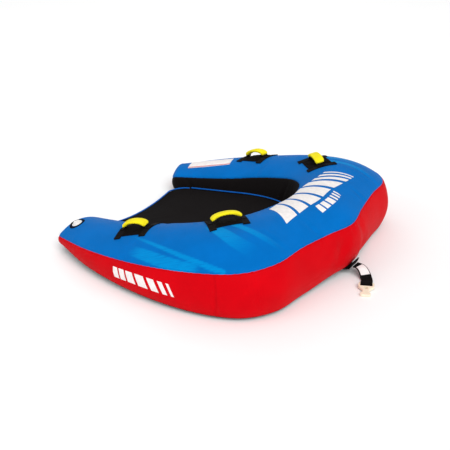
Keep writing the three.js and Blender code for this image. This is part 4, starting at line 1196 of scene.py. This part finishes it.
def make_valve(looks):
    on_skin = SkinFrame(0.5 - VALVE_PLACE / 2, VALVE_SHARE)
    axes = np.array([on_skin.x, on_skin.y, on_skin.z])

    def to_frame(points):
        return on_skin.point + points @ axes

    valve_surround(on_skin, looks["ring"])
    seat = VALVE_SEAT
    lathe_piece("valve_collar", [
        (0.0115, -0.016), (0.015, -0.016), (0.015, 0), (0.023, 0), (0.023, seat - 0.0006),
        (0.0224, seat), (0.0185, seat), (0.018, seat - 0.0005), (0.0175, seat), (0.0115, seat),
    ], to_frame, looks["plastic"], "tube", "valve_base")
    low = seat + 0.0004
    top = low + 0.003
    lathe_piece("valve_plug", [
        (0.008, 0.0004 - 0.016), (0.0108, 0.0004 - 0.016), (0.0108, low), (0.017, low),
        (0.017, top - 0.0006), (0.0164, top), (0.0125, top), (0.012, top - 0.0006),
        (0.0095, top - 0.0006), (0.009, top), (0.008, top),
    ], to_frame, looks["plastic"], "valve_insert", "valve_insert", ribs=24, rib_depth=0.0007)
    cap = top + 0.0004
    lathe_piece("valve_lid", [
        (0, cap - 0.004), (0.006, cap - 0.004), (0.007, cap - 0.003), (0.007, cap), (0.015, cap),
        (0.015, cap + 0.0022), (0.0142, cap + 0.0032), (0.0115, cap + 0.0035), (0.0105, cap + 0.0029),
        (0.004, cap + 0.0026), (0, cap + 0.0025),
    ], to_frame, looks["plastic"], "valve_cap", "valve_cap", ribs=20, rib_depth=0.0006)
    upper = valve_tongue(0.0185)
    lower = upper.copy()
    upper[..., 2] = cap + 0.0018
    lower[..., 2] = cap + 0.0002
    slab_piece("valve_lid_tongue", to_frame(upper), to_frame(lower), looks["plastic"], bevel=0.0004,
               body="valve_cap", slot="white_plastic")


# ---------------------------------------------------------------- label and zipper

LABEL_PLACE = 0.897
LABEL_SHARE = 0.37
LABEL_LENGTH = 0.225
LABEL_WIDTH = 0.068
ZIPPER_PLACE = 0.775
ZIPPER_SHARE = 0.76
ZIPPER_LENGTH = 0.280
ZIPPER_LIFT = 0.0022
ZIPPER_END_ROOM = 0.0056  # for the stop at each end of the teeth
TAPE_GAP = 0.0004
TAPE_WIDTH = 0.013
CHAIN_WIDTH = 0.006
CHAIN_THICKNESS = 0.0026
TOOTH_PITCH = 0.0028


def make_label(material):
    on_skin = SkinFrame(0.5 + LABEL_PLACE / 2, LABEL_SHARE)
    a, b = plate_places(LABEL_LENGTH, 60, LABEL_WIDTH, 24)
    ripple = 0.0003 * wobble(a, 0.05, 3) * (0.4 + 0.6 * np.abs(b) / b.max())
    upper = on_skin.on_skin(a, b, 0.0019 + ripple)
    lower = on_skin.on_skin(a, b, 0.0004)
    slab_piece("safety_label_patch", upper, lower, material, bevel=0.0003,
               replaced=("safety_label",), slot="label_vinyl")


def box_points(length, width, height, x, y, z):
    """Corners and faces of one box standing on height z."""
    corner = np.array([[i, j, k] for i in (-0.5, 0.5) for j in (-0.5, 0.5) for k in (0, 1)])
    faces = np.array([[0, 1, 3, 2], [4, 6, 7, 5], [0, 4, 5, 1], [2, 3, 7, 6], [0, 2, 6, 4], [1, 5, 7, 3]])
    return corner * (length, width, height) + (x, y, z), faces


def make_zipper(looks):
    on_skin = SkinFrame(0.5 - ZIPPER_PLACE / 2, ZIPPER_SHARE, 0.0, "inner")
    to_frame = on_skin.straight(ZIPPER_LENGTH, ZIPPER_LIFT)
    offset = (CHAIN_WIDTH + TAPE_WIDTH) / 2 + TAPE_GAP
    for side, label in ((1, "upper"), (-1, "lower")):
        along = np.linspace(-0.5, 0.5, 90) * ZIPPER_LENGTH
        across = side * offset + TAPE_WIDTH * np.linspace(-0.5, 0.5, 8)
        grid = grid_of(along[:, None], across[None], 0.0)
        lower = grid.copy()
        far = np.abs(across) / np.abs(across).max()
        grid[..., 2] = 0.001 + 0.0004 * wobble(along, 0.05, 7 + side)[:, None] * far[None]
        slab_piece(f"zipper_tape_{label}_strip", to_frame(grid), to_frame(lower), looks["webbing"],
                   bevel=0.0002, replaced=(f"zipper_tape_{label}",), slot="black_webbing")
    points, faces = [], []
    count = int((ZIPPER_LENGTH - 2 * ZIPPER_END_ROOM) / TOOTH_PITCH)
    for k in range(count):
        side = 1 if k % 2 else -1
        start = (k - (count - 1) / 2) * TOOTH_PITCH
        tooth, quads = box_points(TOOTH_PITCH * 0.8, CHAIN_WIDTH * 0.62, CHAIN_THICKNESS, start,
                                  side * CHAIN_WIDTH * 0.17, 0.0002)
        faces.append(quads + 8 * k)
        points.append(tooth)
    piece = new_piece("zipper_teeth", to_frame(np.vstack(points)), np.vstack(faces), looks["teeth"],
                      replaced=("zipper_chain",), slot="black_webbing")
    bevelled(piece, 0.0003, 2, 40)


# ---------------------------------------------------------------- tow strap

TOW_ANCHOR_WIDTH = 0.068
TOW_ANCHOR_THICKNESS = 0.0036
TOW_ANCHOR_LINE = [(0.440, 0.0174), (0.466, 0.0174), (0.492, 0.0174), (0.550, 0.028), (0.560, 0.036),
                   (0.566, 0.048), (0.569, 0.058)]
TOW_WEBBING_WIDTH = 0.048
TOW_WEBBING_THICKNESS = 0.0026
TOW_ROOT_X = 0.570
TOW_ROOT_Z = 0.038
TOW_TURN_LENGTH = 0.105
TOW_TURN_ANGLE = math.radians(68)
TOW_STRAIGHT = 0.034
TOW_BAR_HEIGHT = 0.0114
TOW_LOOP_RADIUS = 0.0093
TOW_LAYER_HEIGHT = 0.0052
TOW_TAIL_LENGTH = 0.042
TOW_BAR = TOW_TURN_LENGTH + TOW_STRAIGHT
TAG_SPAN = (0.020, 0.064)
TAG_WIDTH = 0.040


def tow_track(distance):
    """Where the strap lies in plan, and the directions along it and to its port side."""
    radius = TOW_TURN_LENGTH / TOW_TURN_ANGLE
    turned_length = np.minimum(distance, TOW_TURN_LENGTH)
    heading = turned_length / radius
    nothing = np.zeros_like(heading)
    along = np.stack([np.cos(heading), -np.sin(heading), nothing], -1)
    point = np.stack([TOW_ROOT_X + radius * np.sin(heading), radius * (np.cos(heading) - 1), nothing], -1)
    point = point + along * (distance - turned_length)[..., None]
    return point, along, np.stack([-along[..., 1], along[..., 0], nothing], -1)


def tow_profile():
    """Side view of the strap: down to the ground, round the connector's bar and back under itself."""
    share = np.linspace(0, 1, 28)
    ease = share**3 * (share * (share * 6 - 15) + 10)
    drop = np.stack([0.012 + 0.088 * share, TOW_ROOT_Z + (TOW_LAYER_HEIGHT - TOW_ROOT_Z) * ease], -1)
    climb = [(-0.022, TOW_LAYER_HEIGHT), (-0.019, TOW_LAYER_HEIGHT + 0.0016),
             (-0.015, TOW_LAYER_HEIGHT + 0.005)]
    angle = np.radians(np.linspace(130, -90, 30))
    loop = np.stack([TOW_LOOP_RADIUS * np.cos(angle), TOW_BAR_HEIGHT + TOW_LOOP_RADIUS * np.sin(angle)], -1)
    tail_height = TOW_BAR_HEIGHT - TOW_LOOP_RADIUS
    tail = [(-0.014, tail_height), (-0.028, tail_height), (-TOW_TAIL_LENGTH, tail_height)]
    ended = np.vstack([climb, loop, tail]) + (TOW_BAR, 0)
    return np.vstack([[(0, TOW_ROOT_Z), (0.006, TOW_ROOT_Z)], drop, ended])


def tow_rows(profile, width, lift):
    """Grid of points across the strap, lifted off its middle line."""
    point, along, side = tow_track(profile[:, 0])
    run = unit(np.gradient(profile, axis=0))
    lifted = point - along * (run[:, 1] * lift)[:, None]
    lifted[:, 2] = profile[:, 1] + run[:, 0] * lift
    return lifted[:, None] + side[:, None] * (width * np.linspace(-0.5, 0.5, 9))[None, :, None]


def make_tow_gear(looks):
    line = catmull(np.array(TOW_ANCHOR_LINE), np.linspace(0, 1, 40))
    run = unit(np.gradient(line, axis=0))
    across = np.linspace(-0.5, 0.5, 17) * TOW_ANCHOR_WIDTH
    skins = []
    for lift in (TOW_ANCHOR_THICKNESS / 2, -TOW_ANCHOR_THICKNESS / 2):
        forward = line[:, 0] - run[:, 1] * lift
        height = line[:, 1] + run[:, 0] * lift
        skins.append(grid_of(forward[:, None], across[None], height[:, None]))
    slab_piece("tow_anchor_webbing", *skins, looks["webbing"], bevel=0.0008,
               replaced=("tow_anchor",), slot="black_webbing")
    profile = tow_profile()
    half = TOW_WEBBING_THICKNESS / 2
    slab_piece("tow_strap_webbing", tow_rows(profile, TOW_WEBBING_WIDTH, half),
               tow_rows(profile, TOW_WEBBING_WIDTH, -half), looks["webbing"], bevel=0.0007,
               body="tow_strap", replaced=("tow_strap",), slot="black_webbing")
    dense = np.stack([np.linspace(*TAG_SPAN, 30), np.zeros(30)], -1)
    dense[:, 1] = np.interp(dense[:, 0], profile[:30, 0], profile[:30, 1])
    ripple = 0.0003 * wobble(dense[:, 0], 0.02, 13)[:, None]
    upper = tow_rows(dense, TAG_WIDTH, half + 0.0013)
    upper[..., 2] += ripple
    slab_piece("tow_tag_patch", upper, tow_rows(dense, TAG_WIDTH, half + 0.0002), looks["tag"],
               bevel=0.0002, body="tow_strap", replaced=("tow_strap_tag",), slot="label_vinyl")


def finish_rigid(node, material, bevel):
    """A moulded or cast CAD piece keeps its shape and gets soft edges and its material."""
    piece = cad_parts[node]
    piece.data.materials.clear()
    piece.data.materials.append(material)
    weld = piece.modifiers.new("weld", "WELD")
    weld.merge_threshold = 1e-5
    bevelled(piece, bevel, 3, 30)
    smooth = piece.modifiers.new("normals", "WEIGHTED_NORMAL")
    smooth.keep_sharp = False
    piece.data.polygons.foreach_set("use_smooth", [True] * len(piece.data.polygons))


# ---------------------------------------------------------------- stage, light and camera

CAMERA_AZIMUTH = math.radians(31.68)
CAMERA_ELEVATION = math.radians(24.4)
CAMERA_DISTANCE = 4.5
CAMERA_TARGET = (-0.033, 0.0, 0.105)
CAMERA_LENS = 80.56
CAMERA_SHIFT = (-0.0342, -0.0087)


def make_camera():
    data = bpy.data.cameras.new("camera")
    data.lens = CAMERA_LENS
    data.sensor_width = 36
    data.shift_x, data.shift_y = CAMERA_SHIFT
    camera = bpy.data.objects.new("camera", data)
    bpy.context.scene.collection.objects.link(camera)
    level = math.cos(CAMERA_ELEVATION)
    back = Vector((math.sin(CAMERA_AZIMUTH) * level, -math.cos(CAMERA_AZIMUTH) * level,
                   math.sin(CAMERA_ELEVATION)))
    camera.location = Vector(CAMERA_TARGET) + back * CAMERA_DISTANCE
    camera.rotation_mode = "QUATERNION"
    camera.rotation_quaternion = (-back).to_track_quat("-Z", "Y")
    bpy.context.scene.camera = camera


def add_light(name, kind, location, power, **settings):
    """Light of one kind that looks at the object from a place."""
    data = bpy.data.lights.new(name, kind)
    data.energy = power
    for key, value in settings.items():
        setattr(data, key, value)
    light = bpy.data.objects.new(name, data)
    bpy.context.scene.collection.objects.link(light)
    light.location = location
    light.rotation_mode = "QUATERNION"
    light.rotation_quaternion = (Vector((0, 0, 0.1)) - Vector(location)).to_track_quat("-Z", "Y")


def make_stage():
    bpy.ops.mesh.primitive_plane_add(size=80, location=(0, 0, -0.0005))
    floor = bpy.context.active_object
    floor.name = "studio_floor_plane"
    floor.data.materials.append(floor_material())
    floor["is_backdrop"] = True
    world = bpy.data.worlds.new("studio")
    bpy.context.scene.world = world
    world.use_nodes = True
    world.node_tree.nodes["Background"].inputs["Color"].default_value = (1, 1, 1, 1)
    world.node_tree.nodes["Background"].inputs["Strength"].default_value = 0.6
    add_light("key", "SUN", (2.9, -2.3, 3.3), 2.1, angle=math.radians(45))
    add_light("fill", "AREA", (-1.6, -3.4, 2.6), 20, size=2.2)
    add_light("back", "AREA", (-2.6, 2.6, 3.0), 20, size=2.6)
    bpy.context.scene.view_settings.view_transform = "Standard"


# ---------------------------------------------------------------- everything together

LOOKS = {
    "blue": cover_material("blue_cover", BLUE, shade(BLUE, 0.8), LIGHT_BLUE),
    "red": cover_material("red_cover", RED, shade(RED, 0.75), None, 0.52),
    "wall": cover_material("black_cover", BLACK, shade(BLACK, 2.4), None, 0.72),
    "floor": knit_material("floor_cloth", BLACK, 0.82, 0.0018, 0.01, 1.5),
    "pad": knit_material("pad_cloth", shade(BLACK, 0.7), 0.8, 0.0014, 0.01, 1.6),
    "yellow": knit_material("grip_neoprene", YELLOW, 0.55, 0.0012, 0.02, 1.06, 0.18),
    "piping": knit_material("piping_cloth", linear(0, 96, 190), 0.6, 0.0010, 0.1, 1.25),
    "webbing": webbing_material("black_webbing", shade(BLACK, 0.85)),
    "ring": cover_material("ring_cloth", shade(BLACK, 0.8), shade(BLACK, 2.6), None, 0.75),
    "plastic": moulded_material("white_plastic", linear(238, 234, 230)),
    "cream": moulded_material("cream_plastic", CREAM, 0.42),
    "teeth": moulded_material("zipper_coil", shade(BLACK, 1.4), 0.4),
    "metal": metal_material("zipper_metal", (0.42, 0.44, 0.46)),
    "label": label_material("label_vinyl", (0.003, 0.009)),
    "tag": label_material("tag_vinyl"),
    "print": label_material("deck_print"),
}

make_camera()
make_stage()

cover_piece("top", "cover_top_skin", LOOKS["blue"], ("cover_top_panel", "bladder"), "blue_fabric")
cover_piece("outer", "cover_outer_skin", LOOKS["red"], ("cover_outer_wall",), "red_fabric")
cover_piece("inner", "cover_cockpit_skin", LOOKS["wall"], ("cover_cockpit_wall",), "black_fabric")
cover_piece("bottom", "cover_bottom_skin", LOOKS["wall"], ("cover_bottom_panel",), "black_fabric")
make_prints(LOOKS["print"])

cushion = floor_cushion(LOOKS["floor"])
floor_piping(LOOKS["piping"])
for end in HANDLE_PLACES:
    for side, label in ((1, "port"), (-1, "starboard")):
        make_handle(end, side, label, LOOKS)
make_valve(LOOKS)
make_label(LOOKS["label"])
make_zipper(LOOKS)
make_tow_gear(LOOKS)
finish_rigid("tow_connector", LOOKS["cream"], 0.0018)
for node in ("zipper_slider", "zipper_pull", "zipper_stop_front", "zipper_stop_rear"):
    finish_rigid(node, LOOKS["metal"], 0.0004)
settle_all()

boxes = {"cad": CAD_BOX, "visual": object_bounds()}
{key: [list(corner) for corner in box] for key, box in boxes.items()}
